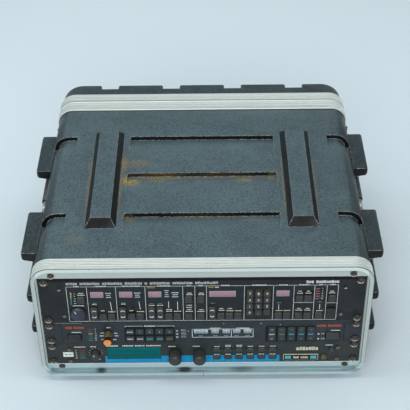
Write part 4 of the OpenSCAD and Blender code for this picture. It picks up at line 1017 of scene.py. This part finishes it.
# a knurled bronze band round the inner knob, and its orange cap
bandLook = {"over": 0.2, "under": 0.05, "from": 12.2, "to": 19.6, "teeth": 30, "capOver": 0.3,
            "capLong": 1.45, "capEdge": 0.4}


def knobBand():
    look = bandLook
    low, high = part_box("dual_knob_inner")
    radius = (high.x - low.x) / 2
    x, z = spotOf((low, high))
    mesh = bmesh.new()
    count = 2 * look["teeth"]
    spots = [around(x, z, radius / mm + look["over" if step % 2 else "under"], 360 * step / count)
             for step in range(count)]
    rings = [[mesh.verts.new(onPanel(*spot, out)) for spot in spots] for out in (look["from"], look["to"])]
    for step in range(count):
        after = (step + 1) % count
        mesh.faces.new((rings[0][step], rings[0][after], rings[1][after], rings[1][step]))
    for ring in rings:
        mesh.faces.new(ring)
    bmesh.ops.recalc_face_normals(mesh, faces=mesh.faces)
    finishPiece("dual_knob_band", mesh, finishes["knob_bronze"], "dual_knob_inner")
    cap = bmesh.new()
    place = Matrix.Translation(onPanel(x, z, look["to"] + look["capLong"] / 2))
    wide = radius + look["capOver"] * mm
    bmesh.ops.create_cone(cap, cap_ends=True, segments=48, radius1=wide, radius2=wide,
                          depth=look["capLong"] * mm, matrix=place @ turned(90, "X"))
    rim = [edge for edge in cap.edges if edge.calc_face_angle(0) > 1]
    bmesh.ops.bevel(cap, geom=rim, offset=look["capEdge"] * mm, offset_type="OFFSET", segments=2, profile=0.5,
                    affect="EDGES", material=-1)
    finishPiece("dual_knob_cap", cap, finishes["knob_orange"], "dual_knob_inner", smooth=30)


knobBand()

# small screws in the panels, shaped like the corner screws of the case
screwLook = {"panel": 5.2, "bronze": 6.4, "around": 8.0}


def smallScrews(name, spots, size, material):
    low, high = looseParts("corner_screws")[0]
    middle = (low + high) / 2
    scale = size * mm / (high.x - low.x)
    one = solidMesh("corner_screws")
    reach = screwLook["around"] * mm
    far = [v for v in one.verts if math.hypot(v.co.x - middle.x, v.co.z - middle.z) > reach]
    bmesh.ops.delete(one, geom=far, context="VERTS")
    bmesh.ops.translate(one, verts=one.verts, vec=(-middle.x, -panelFace, -middle.z))
    bmesh.ops.scale(one, verts=one.verts, vec=(scale, scale, scale))
    sample = meshData("screw", one)
    mesh = bmesh.new()
    for count, (x, z) in enumerate(spots):
        placed = sample.copy()
        placed.transform(Matrix.Translation(onPanel(x, z)) @ Matrix.Rotation(0.5 + count * 1.1, 4, "Y"))
        mesh.from_mesh(placed)
        bpy.data.meshes.remove(placed)
    bpy.data.meshes.remove(sample)
    return finishPiece(name, mesh, material, "case", smooth=30)


smallScrews("delay_panel_screws", delayPrint["smallScrews"], screwLook["panel"], finishes["dark_screw"])
smallScrews("bottom_panel_screws", bottomPrint["bronzeScrews"], screwLook["bronze"], finishes["bronze_screw"])

# domed rivets on the handle plates and keepers: how far they stand off the wall, their places from the front
# edge or, below zero, from the rear one, and their inset from the upper and lower edge, in mm
rivetLook = {"size": 7.0, "rise": 1.7}
rivetSpots = {"handle_plates": ("handle_plate_rivets", 2.0, (9.0, -9.0), 9.0),
              "latch_keepers": ("keeper_rivets", 1.6, (7.0,), 5.5)}


def rivets(node, name, out, places, inset):
    mesh = bmesh.new()
    half = rivetLook["size"] / 2 * mm
    for low, high in looseParts(node):
        side = 1 if low.x > 0 else -1
        for y in [(low.y if place > 0 else high.y) + place * mm for place in places]:
            for z in (low.z + inset * mm, high.z - inset * mm):
                place = Matrix.Translation((side * (wallSide + out * mm), y, z)) @ turned(90 * side, "Y")
                place = place @ Matrix.Diagonal((half, half, rivetLook["rise"] * mm, 1))
                bmesh.ops.create_uvsphere(mesh, u_segments=20, v_segments=10, radius=1.0, matrix=place)
    finishPiece(name, mesh, finishes["plated_steel"], "case", 60)


for node, spots in rivetSpots.items():
    rivets(node, *spots)
print("fasteners added")

# a dark butt joint in the front edge profile, under the panels
seamLook = {"deep": 3.5, "high": 3.4, "size": (0.5, 7.2, 7.0)}
seam = bmesh.new()
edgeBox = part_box("front_valance")
seamAt = edgeBox[0] + Vector((0, seamLook["deep"], seamLook["high"])) * mm
seamPlace = Matrix.Translation((0, seamAt.y, seamAt.z))
seamSize = Matrix.Diagonal([v * mm for v in seamLook["size"]]).to_4x4()
bmesh.ops.create_cube(seam, size=1.0, matrix=seamPlace @ seamSize)
finishPiece("valance_seam", seam, inks["dark"], "case")

# floor and backdrop in one sheet that curves up behind the case
stageLook = {"half": 6.0, "front": -5.0, "back": 3.2, "rise": 4.0, "curve": 1.2, "steps": 8,
             "tone": (207, 221, 228), "second": (204, 218, 225)}


def makeStage():
    look = stageLook
    mesh = bmesh.new()
    profile = [(look["front"], 0.0), (look["back"] - look["curve"], 0.0)]
    for step in range(1, look["steps"] + 1):
        angle = math.radians(90 * step / look["steps"])
        profile.append((look["back"] - look["curve"] + look["curve"] * math.sin(angle),
                        look["curve"] * (1 - math.cos(angle))))
    profile.append((look["back"], look["rise"]))
    line = [mesh.verts.new((-look["half"], y, z)) for y, z in profile]
    edges = [mesh.edges.new(pair) for pair in zip(line, line[1:])]
    moved = bmesh.ops.extrude_edge_only(mesh, edges=edges)
    verts = [g for g in moved["geom"] if isinstance(g, bmesh.types.BMVert)]
    bmesh.ops.translate(mesh, verts=verts, vec=(2 * look["half"], 0, 0))
    bmesh.ops.recalc_face_normals(mesh, faces=mesh.faces)
    data = meshData("paper_sweep", mesh)
    data.shade_smooth()
    paper = surface(look["tone"], look["second"], 0.8, mottle=0.6, grain=300, specular=0.2)
    data.materials.append(finish("backdrop_paper", paper))
    floor = addObject("paper_sweep", data)


makeStage()

# soft light: boxes overhead and in front, faint ones on both sides and on the backdrop, and a pale room
lightLook = {
    "overhead": {"at": (-0.1, -0.45, 3.0), "aim": (0.0, -0.1, 0.0), "size": (2.4, 0.9), "watts": 30},
    "front": {"at": (-0.25, -2.9, 1.95), "aim": (0.0, 0.0, 0.1), "size": (2.8, 1.2), "watts": 57},
    "left": {"at": (-2.4, 0.1, 1.6), "aim": (0.0, 0.0, 0.1), "size": (1.6, 1.4), "watts": 18},
    "right": {"at": (2.4, 0.1, 1.6), "aim": (0.0, 0.0, 0.1), "size": (1.6, 1.4), "watts": 11},
    "back": {"at": (0.1, 0.9, 2.8), "aim": (0.0, 3.0, 0.6), "size": (3.0, 1.0), "watts": 19},
}
for name, look in lightLook.items():
    lamp = bpy.data.lights.new(name, "AREA")
    lamp.shape = "RECTANGLE"
    lamp.size, lamp.size_y = look["size"]
    lamp.energy = look["watts"]
    holder = addObject(name, lamp)
    holder.location = look["at"]
    holder.rotation_euler = (Vector(look["aim"]) - Vector(look["at"])).to_track_quat("-Z", "Y").to_euler()

worldLook = {"Color": (0.95, 0.98, 1.0, 1.0), "Strength": 0.29}
world = bpy.data.worlds.new("dim_room")
world.use_nodes = True
fill(world.node_tree.nodes["Background"], worldLook)
bpy.context.scene.world = world

# the camera stands where the photograph was taken
cameraLook = {"at": (0.01143, -1.41143, 1.30087), "turn": (51.103, 0.523, -0.134), "lens": 96.32,
              "sensor": 36}
lens = bpy.data.cameras.new("camera")
lens.lens = cameraLook["lens"]
lens.sensor_width = cameraLook["sensor"]
eye = addObject("camera", lens)
eye.location = cameraLook["at"]
eye.rotation_euler = [math.radians(v) for v in cameraLook["turn"]]
bpy.context.scene.camera = eye
bpy.context.scene.view_settings.view_transform = "Standard"
print("stage, lights and camera set")
